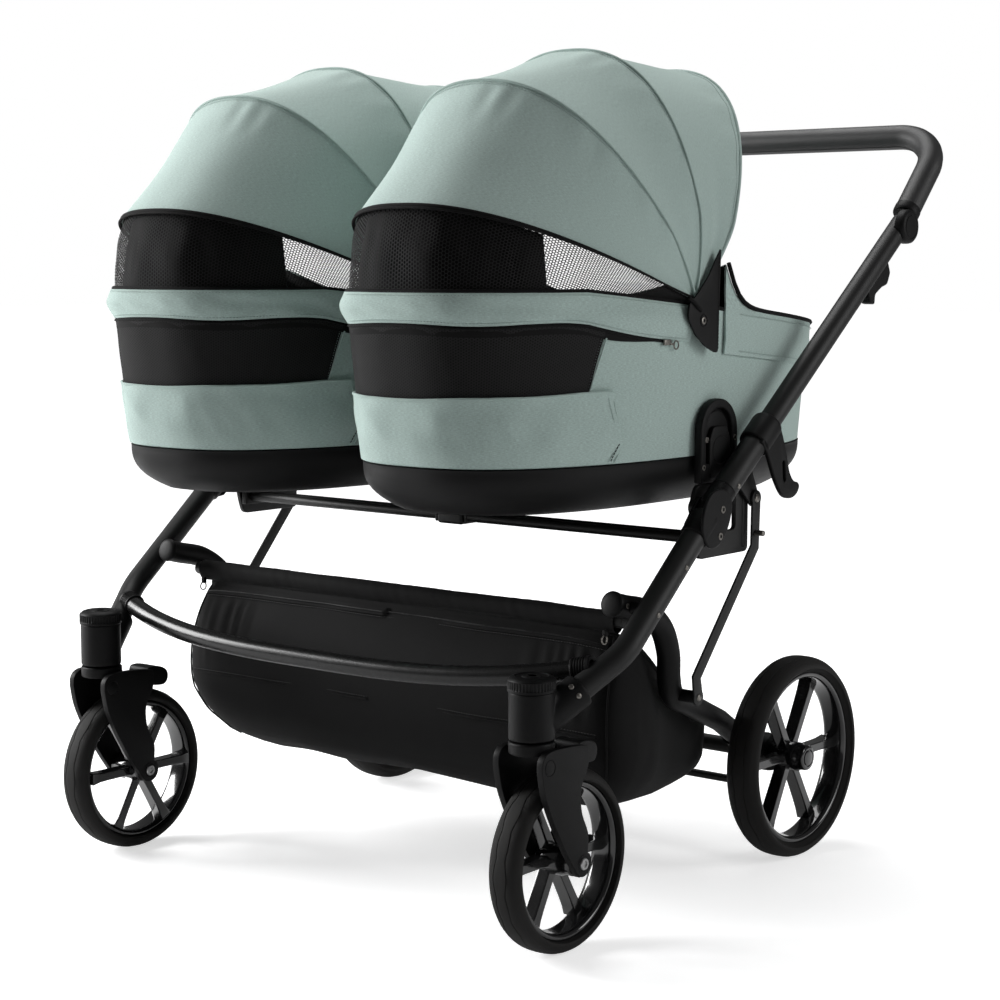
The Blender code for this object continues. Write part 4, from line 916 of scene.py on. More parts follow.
def make_fork():
    """Cast fork: crown, two blades with rounded covers, and a plain round cap on each."""
    x = FRONT_X
    top = HOUSING_BOTTOM - 0.0003
    levels = ((top, -0.0789, -0.0245, 0.0272, 2.0), (0.2612, -0.0795, -0.0225, 0.0288, 2.1),
        (0.2585, -0.083, -0.01, 0.0325, 2.6), (0.255, -0.0856, 0.007, 0.0346, 3.2),
        (0.25, -0.0868, 0.0112, 0.0352, 3.8), (0.24, -0.0866, FORK_BACK - 0.0003, 0.0353, 4.4),
        (0.23, -0.085, FORK_BACK - 0.0006, 0.0353, 4.8), (0.221, -0.0828, 0.0075, 0.0353, 4.8),
        (0.212, -0.0802, 0.002, 0.0353, 4.8), (0.196, -0.0735, -0.004, 0.0353, 4.8),
        (0.186, -0.0688, -0.0026, 0.0353, 4.8), (0.17, -0.0588, 0.001, 0.0353, 4.8),
        (0.148, -0.045, 0.0125, 0.0353, 4.8), (0.128, -0.032, 0.0158, 0.0353, 4.8),
        (0.116, -0.023, 0.0162, 0.0353, 4.8), (0.106, -0.016, 0.0152, 0.0353, 4.8),
        (0.099, -0.0105, 0.011, 0.0353, 4.8), (0.0953, -0.004, 0.005, 0.0353, 4.8))
    turns = [2 * math.pi * i / 96 for i in range(97)]
    rows = []
    for z, front, back, half, power in levels:
        middle, reach = (front + back) / 2, (back - front) / 2
        rows.append([(x + half * signed(math.cos(a), 2 / power), middle + reach * signed(math.sin(a), 2 / power), z)
            for a in turns])
    body = net(rows, closed=True, caps=True)
    arch = spun(lid(FRONT_RADIUS + 0.005, -FORK_GAP, FORK_GAP, 0.0015), (x, 0, FRONT_RADIUS), "X", 120)
    opening = rod((x, -0.12, 0.195), (x, -0.02, 0.195), 0.0264, 0, 48)
    cut(body, arch, opening)
    collar = spun(lid(0.0272, top - 0.016, top - 0.0012, 0.001), (x, -TRAIL, 0), "Z", 48)
    item = paint(cast(joined(body, collar), 0.0011, 8), finish_of("plastic"))
    cover = [(-0.078, 0.233), (-0.0765, 0.245), (-0.068, 0.253), (-0.052, 0.2552), (-0.02, 0.254), (0.006, 0.251),
        (0.0096, 0.246), (0.0096, 0.229), (0.0045, 0.218), (-0.003, 0.205), (-0.005, 0.19), (-0.0018, 0.17),
        (0.0095, 0.146)]
    cover += arc((0.0, FRONT_RADIUS), 0.0158, 55, -125, 14)
    cover += [(-0.028, 0.124), (-0.042, 0.146), (-0.059, 0.176), (-0.072, 0.205)]
    smoothed = soft_outline(cover, 3)
    parts = []
    for way in (-1, 1):
        face = x + way * FORK_HALF
        plate = slab(smoothed, face - way * 0.009, face - way * 0.0002, 0.0015, 4)
        ring = [(0.0088, -0.002), (0.0088, 0.0002), (0.0093, 0.0007), (0.0098, 0.0002), (0.0098, -0.002)]
        ringed = spun(ring, yz(face - way * 0.0003, FORK_CAP), (way, 0, 0), 48)
        cap = spun(lid(0.0086, -0.002, 0.0003, 0.0005), yz(face - way * 0.0003, FORK_CAP), (way, 0, 0), 40)
        boss = spun([(0.0052, -0.0025), (0.0108, -0.0025), (0.0108, -0.0004), (0.0102, 0.0003), (0.006, 0.0003),
            (0.0052, -0.0005)], (face, 0, FRONT_RADIUS), (way, 0, 0), 40)
        parts += [dress(part, "plastic") for part in (plate, ringed, cap, boss)]
    settle_pair(joined(item, *parts), "cast_fork", "caster", "black_plastic", "fork")


def make_front_axle():
    """Axle pin with a recessed head on each side."""
    x = FRONT_X
    reach = FORK_HALF + 0.0033
    pin = rod((x - reach + 0.002, 0, FRONT_RADIUS), (x + reach - 0.002, 0, FRONT_RADIUS), 0.005)
    heads = []
    for way in (-1, 1):
        heads.append(spun([(0, -0.0015), (0.0072, -0.0015), (0.0072, 0.0012), (0.0064, 0.0022), (0.004, 0.0022),
            (0.0036, 0.0004), (0, 0.0004)], (x + way * (FORK_HALF + 0.0005), 0, FRONT_RADIUS), (way, 0, 0), 48))
    item = dress(joined(pin, *heads), "steel", 35)
    settle_pair(item, "axle_bolt", "caster", "steel", "front_axle")


def make_swivel_lock():
    """Rear lobe of the fork: the foot lever of the swivel lock."""
    outline = [(0.0168, 0.25), (0.028, 0.2505), (0.042, 0.2475), (0.052, 0.243), (0.057, 0.236), (0.056, 0.2275),
        (0.049, 0.222), (0.038, 0.2222), (0.026, 0.224), (0.0175, 0.2262), (0.0131, 0.23), (0.013, 0.24),
        (0.0142, 0.2465)]
    x = FRONT_X
    lever = slab(soft_outline(outline, 3), x - LEVER_HALF, x + LEVER_HALF, 0.0036, 6)
    for vertex in lever.data.vertices:
        share = max(0.0, (vertex.co.y - 0.03) / 0.028)
        vertex.co.x = x + (vertex.co.x - x) * (1.0 - 0.28 * share)
    ribs = []
    for i in range(5):
        y = 0.03 + 0.0045 * i
        ribs.append(block((x - 0.011, y, 0.248 - 0.0011 * i), (x + 0.011, y + 0.0016, 0.2506 - 0.0012 * i), 0.0005))
    item = dress(joined(lever, *ribs), "plastic", 40)
    settle_pair(item, "swivel_lever", "caster_lock", "black_plastic", "swivel_lock")


def make_housing():
    """Swivel housing with its socket, its ribbed cap and two rivets."""
    x, y = FRONT_X, -TRAIL
    ribs = bpy.context.scene.pram_look.cap_ribs
    drum = spun([(0.01, HOUSING_BOTTOM), (0.0262, HOUSING_BOTTOM), (HOUSING_RADIUS, HOUSING_BOTTOM + 0.001),
        (HOUSING_RADIUS, 0.319), (0.0262, 0.3196), (0.01, 0.3196)], (x, y, 0), "Z", 64)
    along = (SIDE_CORNER - SIDE_HUB).normalized()
    socket = rod(SIDE_HUB + along * 0.019, SIDE_HUB + along * SOCKET_LENGTH, SOCKET_RADIUS, 0.0016, 48)
    web = rod(SIDE_HUB + Vector((0, 0, 0.03)), SIDE_HUB + along * 0.04 + Vector((0, 0, 0.006)), 0.017, 0.002, 40)
    body = cast(joined(drum, socket, web), 0.0011, 7)
    bore = rod(SIDE_HUB + along * (SOCKET_LENGTH - 0.006), SIDE_HUB + along * 0.095, TUBE_RADIUS + 0.0006, 0)
    cut(body, bore)
    base = HOUSING_TOP - CAP_HEIGHT + 0.0016
    high = HOUSING_RADIUS + 0.0013
    cap = spun([(0.01, base), (high - 0.0004, base), (high, base + 0.0006), (high, base + 0.003),
        (high, base + 0.004), (high, base + 0.012), (high, base + 0.013), (high - 0.001, base + 0.0146),
        (high - 0.0045, base + 0.0172), (high - 0.008, base + 0.0182), (high - 0.0088, base + 0.0176),
        (high - 0.0096, base + 0.017), (0.012, base + 0.017), (0.0112, base + 0.0178), (0, base + 0.018)], (x, y, 0),
        "Z", ribs * 6)
    for vertex in cap.data.vertices:
        spot = vertex.co - Vector((x, y, 0))
        if spot.xy.length > 0.027 and base + 0.0035 < spot.z < base + 0.0125:
            angle = math.atan2(spot.y, spot.x) * ribs
            push = 1.0 - 0.034 * (0.5 - 0.5 * math.cos(angle)) ** 0.6
            vertex.co.x, vertex.co.y = x + spot.x * push, y + spot.y * push
    item = joined(paint(body, finish_of("plastic")), dress(cap, "plastic", 30))
    spot = SIDE_HUB + along * (SOCKET_LENGTH - 0.012)
    facing = (TO_CAMERA - along * TO_CAMERA.dot(along)).normalized()
    for turn in (-24, 14):
        out = Matrix.Rotation(math.radians(turn), 3, along) @ facing
        item = joined(item, rivet(spot + out * SOCKET_RADIUS, out, 0.0034))
    settle_pair(item, "cast_housing", "chassis", "black_plastic", "swivel_housing")


def make_side_tube():
    """Bent lower tube with its two rivets."""
    start = on_line(SIDE_HUB, SIDE_CORNER, 0.05)
    end = Vector(yz(SIDE_X, before_fold(LOWER_END)))
    item = dress(pipe(bent([start, SIDE_CORNER, end], 0.09, 16), TUBE_RADIUS, 48), "coat", 40)
    for distance in (0.098, 0.175):
        item = joined(item, rivet(yz(SIDE_X + TUBE_RADIUS, before_fold(distance)), OUTWARD, 0.0034))
    settle_pair(item, "bent_tube", "chassis", "frame_black", "side_tube")


def make_crossbar():
    """Bowed front tube with a ribbed end cap at each side tube."""
    half, rise, drop, y, z = 0.4, 0.0496, 0.0287, 0.0234, 0.3381
    points = []
    for i in range(73):
        share = -1 + 2 * i / 72
        bow = 1 - abs(share) ** 3
        points.append((half * share, y - rise * bow, z - drop * bow))
    item = dress(pipe(points, 0.0124, 40), "bar", 40)
    for side in (-1, 1):
        near = Vector(points[0] if side < 0 else points[-1])
        far = Vector(points[5] if side < 0 else points[-6])
        way = (near - far).normalized()
        cuff = [(0.01, -0.02), (0.0138, -0.02), (0.0146, -0.019)]
        for k in range(5):
            low = -0.017 + k * 0.0034
            cuff += [(0.0146, low), (0.0138, low + 0.0008), (0.0138, low + 0.0018), (0.0146, low + 0.0026)]
        cuff += [(0.0146, 0.003), (0.0136, 0.0044), (0.01, 0.0044)]
        item = joined(item, dress(spun(cuff, near, way, 48), "plastic"))
    settle(item, "bowed_bar", "chassis", "frame_black", "front_crossbar")


def make_hinge():
    """Cast fold hinge: sleeve on the lower tube, cover plates and rivets."""
    x = SIDE_X
    sleeve = rod(yz(x, before_fold(0.05)), yz(x, before_fold(0.015)), 0.0181, 0.0016, 48)
    inner = slab(capsule(before_fold(0.033), FOLD, 0.01, 0.014), 0.4097, 0.4146, 0.0012)
    cover = [(0.201, 0.519), (0.1945, 0.505), (0.1925, 0.486), (0.2, 0.47), (0.212, 0.4625), (0.227, 0.464),
        (0.241, 0.474), (0.252, 0.491), (0.257, 0.508), (0.255, 0.522), (0.246, 0.531), (0.231, 0.534), (0.213, 0.53)]
    outer = slab(soft_outline(cover, 4), 0.4398, 0.4447, 0.0022, 5)
    lobe = slab([(0.199, 0.49), (0.201, 0.474), (0.212, 0.467), (0.226, 0.4685), (0.239, 0.479), (0.233, 0.487)],
        0.418, 0.441, 0.003, 4)
    cheek = slab(capsule(before_fold(0.033), FOLD, 0.012, 0.019), 0.4394, 0.442, 0.0008)
    item = dress(joined(sleeve, inner, outer, lobe, cheek), "plastic")
    for spot in (FOLD, (0.231, 0.476)):
        item = joined(item, screw_head(yz(0.4443, spot), OUTWARD, 0.0046, 0.0012))
    item = joined(item, rivet(yz(0.4099, FOLD), -OUTWARD, 0.0046))
    settle_pair(item, "cast_hinge", "chassis", "black_plastic", "hinge_shell")


def make_bracket():
    """Carrier bracket: an L of plate with its window and its post for the adapter."""
    x, thick = BRACKET_X, BRACKET_THICKNESS
    outline = rounded([(0.229, 0.508), (0.238, 0.464), (0.245, 0.442), (0.356, 0.442), (0.356, 0.5355),
        (0.24, 0.5355)], 0.009, 6)
    item = slab(outline, x, x + thick, 0.0)
    window = slab(rounded([(0.278, 0.473), (0.327, 0.473), (0.327, 0.5165), (0.278, 0.5165)], 0.006, 6), x - 0.01,
        x + thick + 0.01, 0.0)
    cut(item, window)
    soften(item, 0.0012)
    ridge = slab(rounded([(0.342, 0.448), (0.353, 0.448), (0.353, 0.53), (0.342, 0.53)], 0.003, 4), x + thick - 0.001,
        x + thick + 0.0008, 0.0006)
    boss = rod(yz(x + 0.002, FOLD), yz(0.4092, FOLD), 0.01)
    item = dress(joined(item, ridge, boss), "coat", 35)
    settle_pair(item, "bracket_plate", "chassis", "frame_black", "carrier_bracket")


def make_carrier_bars():
    """Two bars under the carrycots with their end blocks, middle clamp and saddle."""
    half = BRACKET_X - 0.0003
    parts = []
    for way in (-1, 1):
        y = BAR_Y + way * 0.01
        parts.append(smooth(rod((-half, y, BAR_Z), (half, y, BAR_Z), 0.0065, 0.0008, 40), 40))
    blocks = [(-0.022, 0.022, 0.021, BAR_Z - 0.0105, BAR_Z + 0.0105, 0.0045, 5)]
    for side in (-1, 1):
        blocks.append((side * 0.028, side * 0.023, 0.0175, BAR_Z - 0.0085, BAR_Z + 0.0085, 0.0016, 3))
        blocks.append((side * 0.3965, side * 0.386, 0.024, BAR_Z - 0.011, BAR_Z + 0.011, 0.002, 3))
    blocks += [(-0.014, 0.014, 0.012, BAR_Z, 0.507, 0.003, 3), (-0.105, 0.105, 0.03, 0.5046, 0.5106, 0.0026, 3)]
    for first, last, deep, low, high, edge, rounds in blocks:
        parts.append(smooth(block((first, BAR_Y - deep, low), (last, BAR_Y + deep, high), edge, rounds), 30))
    item = paint(joined(*parts), finish_of("coat"))
    settle(item, "carrier_rods", "chassis", "frame_black", "carrier_bars")


def make_rear_leg():
    """S-shaped moulded leg with its end cap, pivot pin and strut boss."""
    y, z = LEG_PIVOT
    end = on_line(AXLE_CENTRE, KNEE, LEG_END)
    points = [(LEG_X, y - 0.025, z + 0.0065), (LEG_X, y, z), (LEG_X, y + 0.042, z - 0.0105),
        (LEG_X, y + 0.078, z - 0.0345), (LEG_X - 0.001, y + 0.096, z - 0.0685),
        (LEG_X - 0.005, y + 0.104, z - 0.1025), (LEG_X - 0.016, y + 0.13, z - 0.1305),
        (LEG_X - 0.036, y + 0.197, z - 0.1555)]
    path = flowing(points + [KNEE], 8) + [end]
    leg = smooth(pipe(path, LEG_RADIUS - 0.0002, 48), 60)
    nose = Vector(path[0])
    way = (nose - Vector(path[4])).normalized()
    cap = spun([(0, -0.004), (0.0156, -0.004), (0.0158, -0.003), (0.0158, 0.0002), (0.015, 0.0016), (0.012, 0.003),
        (0.007, 0.0038), (0, 0.004)], nose - way * 0.0015, way, 48)
    cuff = []
    low = -0.012
    for k in range(4):
        cuff += [(0.0172, low + k * 0.004), (0.0164, low + k * 0.004 + 0.001), (0.0164, low + k * 0.004 + 0.0024),
            (0.0172, low + k * 0.004 + 0.0034)]
    sleeve = spun([(0.014, low)] + cuff + [(0.0166, 0.0045), (0.014, 0.0045)],
        end - (end - KNEE).normalized() * 0.016, end - KNEE, 48)
    pivot = rod(yz(LEG_X + 0.004, LEG_PIVOT), yz(SIDE_X - TUBE_RADIUS + 0.001, LEG_PIVOT), 0.008)
    boss = rod(yz(LEG_X - 0.012, STRUT_FOOT), yz(STRUT_X - 0.0003, STRUT_FOOT), 0.008)
    item = paint(joined(leg, *[smooth(part, 38) for part in (cap, sleeve, pivot, boss)]), finish_of("plastic"))
    item = joined(item, rivet(yz(LEG_X + LEG_RADIUS - 0.0002, (y - 0.012, z + 0.004)), OUTWARD, 0.003))
    settle_pair(item, "moulded_leg", "rear_frame", "black_plastic", "rear_leg")


def make_rear_axle():
    """Axle tube, brake drums, leg sockets and stub axles."""
    y, z = REAR_Y, REAR_RADIUS
    tube = rod((-DRUM_INNER, y, z), (DRUM_INNER, y, z), 0.011, 0.0008, 40)
    item = dress(tube, "coat", 40)
    for side in (-1, 1):
        mirror = Matrix.Diagonal((side, 1, 1))
        centre, joint = mirror @ AXLE_CENTRE, mirror @ KNEE
        drum = spun([(0.006, 0), (0.024, 0), (0.0258, 0.002), (DRUM_RADIUS, 0.004), (DRUM_RADIUS, 0.018),
            (0.025, 0.0188), (0.025, 0.021), (DRUM_RADIUS, 0.0218), (DRUM_RADIUS, 0.044), (0.0252, 0.0484),
            (0.02, 0.0487), (0.006, 0.0487)], (side * DRUM_INNER, y, z), (side, 0, 0), 56)
        socket = rod(on_line(centre, joint, 0.062), centre, 0.0184, 0.002, 40)
        web = slab(capsule(BRAKE, (y, z), 0.012, 0.019), side * (DRUM_INNER + 0.0012), side * (DRUM_INNER + 0.0078),
            0.0012)
        core = cast(joined(socket, rod(centre - Vector((0.014, 0, 0)), centre + Vector((0.014, 0, 0)), 0.0235,
            0.003)), 0.0012, 5)
        notches = []
        for k in range(14):
            turn = Matrix.Rotation(2 * math.pi * k / 14, 4, "X")
            tooth = block((-0.0022, -0.0018, 0.025), (0.0022, 0.0018, 0.0266), 0.0006, 2)
            tooth.data.transform(Matrix.Translation((side * (DRUM_INNER + 0.0335), y, z)) @ turn)
            notches.append(tooth)
        stub = rod((side * (DRUM_OUTER - 0.01), y, z), (side * (REAR_X + 0.021), y, z), 0.0054)
        parts = [dress(part, "plastic") for part in (drum, web, core, *notches)]
        item = joined(item, *parts, dress(stub, "steel", 35))
    settle(item, "axle_set", "rear_frame", "black_plastic", "rear_axle")


def make_brake():
    """Brake rod and its ribbed foot pedal."""
    y, z = BRAKE
    end = DRUM_INNER + 0.008
    bar = rod((-end, y, z), (end, y, z), 0.0055, 0.0006, 32)
    item = dress(bar, "coat", 40)
    outline = [(y - 0.01, z), (y - 0.004, z + 0.009), (y + 0.012, z + 0.01), (y + 0.06, z + 0.001),
        (y + 0.084, z + 0.001), (y + 0.0935, z + 0.0078), (y + 0.0995, z + 0.002), (y + 0.09, z - 0.006),
        (y + 0.05, z - 0.0135), (y + 0.01, z - 0.01)]
    pedal = slab(rounded(outline, 0.004, 4), -0.045, 0.045, 0.0024, 4)
    for vertex in pedal.data.vertices:
        share = max(0.0, (vertex.co.y - y - 0.02) / 0.08)
        vertex.co.x *= 1.0 - 0.12 * share ** 2
    parts = [dress(pedal, "plastic")]
    for k in range(6):
        place = y + 0.028 + 0.0085 * k
        height = z + 0.0072 - 0.0012 * k
        parts.append(dress(block((-0.03, place, height - 0.001), (0.03, place + 0.003, height + 0.0006), 0.0008),
            "plastic"))
    settle(joined(item, *parts), "foot_brake", "brake", "black_plastic", "brake_pedal")


def strap_outline(points, half, eye):
    """Outline of a flat bar along points, with round ends and eased bends."""
    first, last = heading(points[0], points[1]), heading(points[-2], points[-1])
    near, far = [], []
    for before, here, after in zip(points, points[1:], points[2:]):
        middle = (heading(before, here) + heading(here, after)) / 2
        for side, turn in ((near, -90), (far, 90)):
            angle = math.radians(middle + turn)
            side.append((here[0] + half * math.cos(angle), here[1] + half * math.sin(angle)))
    return (arc(points[0], eye, first + 62, first + 298, 16) + near + arc(points[-1], eye, last - 118, last + 118, 16)
        + far[::-1])


def make_strut():
    """Flat strut with its rivets and a stud."""
    points = [STRUT_TOP, (STRUT_TOP[0] - 0.002, STRUT_TOP[1] - 0.062), (STRUT_FOOT[0] - 0.004, STRUT_FOOT[1] + 0.026),
        STRUT_FOOT]
    x = STRUT_X
    item = slab(strap_outline(points, 0.009, 0.0103), x, x + STRUT_THICKNESS, 0.0008, 3)
    item = dress(item, "coat", 30)
    face = x + STRUT_THICKNESS
    item = joined(item, rivet(yz(face, STRUT_TOP), OUTWARD, 0.0056, 0.002),
        rivet(yz(face, STRUT_FOOT), OUTWARD, 0.0046, 0.0018))
    stud = rod(yz(face - 0.001, (STRUT_TOP[0] - 0.003, STRUT_TOP[1] - 0.044)),
        yz(face + 0.013, (STRUT_TOP[0] - 0.003, STRUT_TOP[1] - 0.044)), 0.0036, 0.001, 24)
    item = joined(item, dress(stud, "rivet", 35))
    settle_pair(item, "flat_strut", "strut", "frame_black", "strut")


def make_upper_tube():
    """Upper side tube with its eye, lug, carry hook and handle joint."""
    x = SIDE_X
    eye = rod(yz(x - 0.007, FOLD), yz(x + 0.0121, FOLD), UPPER_RADIUS, 0.004, 40)
    neck = rod(yz(x - 0.0121, FOLD), yz(x - 0.006, FOLD), 0.011, 0.001, 40)
    root = rod(yz(x, upper_point(0.0)), yz(x, upper_point(0.033)), UPPER_RADIUS + 0.0004, 0.001, 48)
    thick = rod(yz(x, upper_point(0.0335)), yz(x, upper_point(THICK_LENGTH)), UPPER_RADIUS, 0.0012, 48)
    far = (Vector(HANDLE_PIVOT) - Vector(FOLD)).length
    thin = rod(yz(x, upper_point(THICK_LENGTH - 0.01)), yz(x, upper_point(far + 0.014)), THIN_RADIUS, 0.006, 48)
    cut(root, spun([(0, -0.02), (0.0208, -0.02), (0.0208, 0), (0, 0)], yz(x - 0.0124, FOLD), "X", 48),
        spun([(0, 0), (0.0208, 0), (0.0208, 0.02), (0, 0.02)], yz(x + 0.0124, FOLD), "X", 48))
    angle = heading(FOLD, HANDLE_PIVOT)
    lug = [upper_point(0.0745), upper_point(0.1245)] + arc(STRUT_TOP, 0.011, angle, angle - 180, 16)
    plate = slab(lug, LUG_X, LUG_X + LUG_THICKNESS, 0.001)
    hook = [upper_point(HOOK_PLACE - 0.03, -0.01), upper_point(HOOK_PLACE - 0.035, -0.029),
        upper_point(HOOK_PLACE - 0.027, -0.037), upper_point(HOOK_PLACE - 0.018, -0.027),
        upper_point(HOOK_PLACE + 0.002, -0.03), upper_point(HOOK_PLACE + 0.016, -0.036),
        upper_point(HOOK_PLACE + 0.032, -0.028), upper_point(HOOK_PLACE + 0.036, -0.01)]
    latch = slab(rounded(hook, 0.004, 5), x - 0.008, x + 0.008, 0.0022, 4)
    pin = rod(yz(LUG_X + 0.002, STRUT_TOP), yz(STRUT_X + STRUT_THICKNESS - 0.0004, STRUT_TOP), 0.0048)
    room = rod(yz(x + 0.0042, HANDLE_PIVOT), yz(x + 0.03, HANDLE_PIVOT), DISC_RADIUS + 0.001, 0)
    cut(thin, room)
    metal = dress(joined(thick, thin, plate, pin), "coat", 38)
    mould = dress(joined(eye, neck, root, latch), "plastic")
    item = joined(metal, mould)
    item = joined(item, rivet(yz(x + UPPER_RADIUS, upper_point(0.045, -0.002)), OUTWARD, 0.0034),
        rivet(yz(x - 0.0125, FOLD), -OUTWARD, 0.003))
    settle_pair(item, "upper_rail", "upper_frame", "frame_black", "upper_tube")


def make_collar():
    """Sliding lock collar with its hooked pull lever."""
    x = SIDE_X
    half = COLLAR_LENGTH / 2
    sleeve = spun([(UPPER_RADIUS + 0.0003, -half), (0.019, -half), (0.0202, -half + 0.0012),
        (COLLAR_RADIUS, -half + 0.004), (COLLAR_RADIUS, half - 0.005), (0.0198, half - 0.0016), (0.0185, half),
        (UPPER_RADIUS + 0.0003, half)], yz(x, upper_point(COLLAR_PLACE)), (0, *UPPER_WAY), 56)
    lever = [(-0.024, 0.01), (-0.0235, -0.0133), (-0.0265, -0.034), (-0.029, -0.0542), (-0.0275, -0.078),
        (-0.017, -0.0925), (-0.003, -0.099), (0.009, -0.0965), (0.0105, -0.0895), (0.004, -0.08), (0.0035, -0.064),
        (0.013, -0.0362), (0.0205, -0.0032), (0.019, 0.01)]
    points = [upper_point(COLLAR_PLACE + along, above) for along, above in lever]
    pull = slab(soft_outline(points, 4, closed=False), x + 0.0118, x + 0.0182, 0.0)
    slot = slab(capsule(upper_point(COLLAR_PLACE - 0.001, -0.046), upper_point(COLLAR_PLACE - 0.012, -0.064), 0.003,
        0.0034), x - 0.02, x + 0.04, 0.0)
    cut(pull, slot)
    soften(pull, 0.0018)
    root = slab([upper_point(COLLAR_PLACE - 0.019, 0.004), upper_point(COLLAR_PLACE - 0.019, -0.02),
        upper_point(COLLAR_PLACE + 0.013, -0.02), upper_point(COLLAR_PLACE + 0.019, 0.004)], x + 0.004, x + 0.016,
        0.004, 4)
    item = dress(joined(sleeve, pull, root), "plastic")
    settle_pair(item, "slide_collar", "collar", "black_plastic", "lock_collar")


def make_handle():
    """Padded U handle with its two joints and a sewn seam."""
    corners = []
    for side in (-1, 1):
        ends = [Vector(yz(side * SIDE_X, HANDLE_PIVOT)), Vector((side * SIDE_X, HANDLE_Y, HANDLE_Z))]
        corners += ends if side < 0 else ends[::-1]
    start = on_line(corners[0], corners[1], 0.03)
    finish_point = on_line(corners[3], corners[2], 0.03)
    path = bent([start, corners[1], corners[2], finish_point], HANDLE_BEND, 20)
    pad = pipe(path, GRIP_RADIUS, 40)
    item = dress(pad, "grip", 50)
    seam = []
    for i, point in enumerate(path):
        way = Vector(path[min(i + 1, len(path) - 1)]) - Vector(path[max(i - 1, 0)])
        inward = Vector((0, -0.6, -0.8))
        inward = (inward - way.normalized() * inward.dot(way.normalized())).normalized()
        seam.append(Vector(point) + inward * (GRIP_RADIUS + 0.0001))
    item = joined(item, dress(pipe(seam, 0.0007, 8), "dark_thread", 60))
    for side in (-1, 1):
        x = side * SIDE_X
        base = corners[0] if side < 0 else corners[3]
        tip = corners[1] if side < 0 else corners[2]
        way = (tip - base).normalized()
        cuff = spun([(0.01, -0.008), (0.0168, -0.008), (0.0178, -0.0065), (0.0182, -0.004), (0.0182, 0.004),
            (0.0176, 0.0055), (0.01, 0.0055)], base + way * 0.029, way, 40)
        neck = rod(base + way * 0.004, base + way * 0.03, 0.015, 0.001, 40)
        room = rod(yz(x + side * 0.0044, HANDLE_PIVOT), yz(x - side * 0.03, HANDLE_PIVOT), DISC_RADIUS + 0.001, 0)
        cut(neck, room)
        disc = spun([(0, 0.0046), (0.0222, 0.0046), (DISC_RADIUS, 0.006), (DISC_RADIUS, 0.0125), (0.0226, 0.016),
            (0.0206, 0.0182), (0.018, 0.019), (0.0165, 0.019), (0.016, 0.0185), (0.0152, 0.0185), (0.0147, 0.0192),
            (0.008, DISC_WIDTH), (0, DISC_WIDTH)], yz(x, HANDLE_PIVOT), (side, 0, 0), 56)
        parts = [dress(part, "plastic") for part in (cuff, neck, disc)]
        item = joined(item, *parts)
    settle(item, "padded_handle", "handle", "black_plastic", "handle_bar")


# Carrycots, as Y and Z in the shaping frame
COT_Y = 0.2855
COT_POWER = 2.635
TUB_BOTTOM = 0.511
TUB_TOP = 0.57
TUB_EDGE_X = 0.04            # how far the bottom's edge draws in
TUB_EDGE_Y = 0.047
COT_HALF_WIDTH = 0.18
COT_HALF_LENGTH = 0.3637
RIM_HEAD = 0.777
RIM_FOOT = 0.718
RIM_SLOPE_START = 0.05
RIM_HALF_WIDTH = 0.185
RIM_HALF_LENGTH = 0.3925
WALL = 0.0075
HOOD_PIVOT = (0.2626, 0.7497)
HOOD_GATHER = (0.237, 0.766)     # the hood's seams meet here
HOOD_POWER = 2.36
HOOD_HALF_WIDTH = 0.1964
TRIM_ARCH = (0.375, 70.5)
LOW_ARCH = (0.349, 37.7)
MID_ARCH = (0.3266, 5.7)
OPEN_ARCH = (0.36, -29.6)
FIRST = 0.03
CLOTH = 0.0024
ARCH_COLUMNS = 193
HOOD_SAG = 0.0035
BOW_RADIUS = 0.003
HOOD_TURN = {"low": 25.21, "mid": 46.86, "open": 71.0}
BAND_DROP = 0.04
FLAP_TOP = 0.655
VENT_START = 175.2            # degrees round the wall, from the outer side
VENT_RUN = 170.4
APRON_FRONT_Y = 0.294
APRON_SKIRT = 0.058
APRON_OUT = 0.003
APRON_LEVEL = 0.74
LEAN_START = 0.76            # above this the apron's flaps lean back
LEAN = 0.14


def signed(value, power):
    return math.copysign(abs(value) ** power, value)


def eased(value):
    value = min(1.0, max(0.0, value))
    return value * value * (3 - 2 * value)


def rim_height(y):
    share = (y - RIM_SLOPE_START) / (COT_Y + RIM_HALF_LENGTH - RIM_SLOPE_START)
    return RIM_HEAD + (RIM_FOOT - RIM_HEAD) * max(0.0, share)


def wall_point(angle, z, out=0.0):
    """A point of the carrycot's cloth wall; the angle is 0 at the outer side and -90 at the head."""
    angle = math.radians(angle)
    rise = (z - TUB_TOP) / (RIM_HEAD - TUB_TOP)
    half_x = COT_HALF_WIDTH + (RIM_HALF_WIDTH - COT_HALF_WIDTH) * rise + out
    half_y = COT_HALF_LENGTH + (RIM_HALF_LENGTH - COT_HALF_LENGTH) * rise + out
    return Vector((COT_X + half_x * signed(math.cos(angle), 2 / COT_POWER),
        COT_Y + half_y * signed(math.sin(angle), 2 / COT_POWER), z))


def ripple(point, scale, size):
    """Small soft unevenness of hanging cloth."""
    return noise.noise(Vector(point) * scale) * size


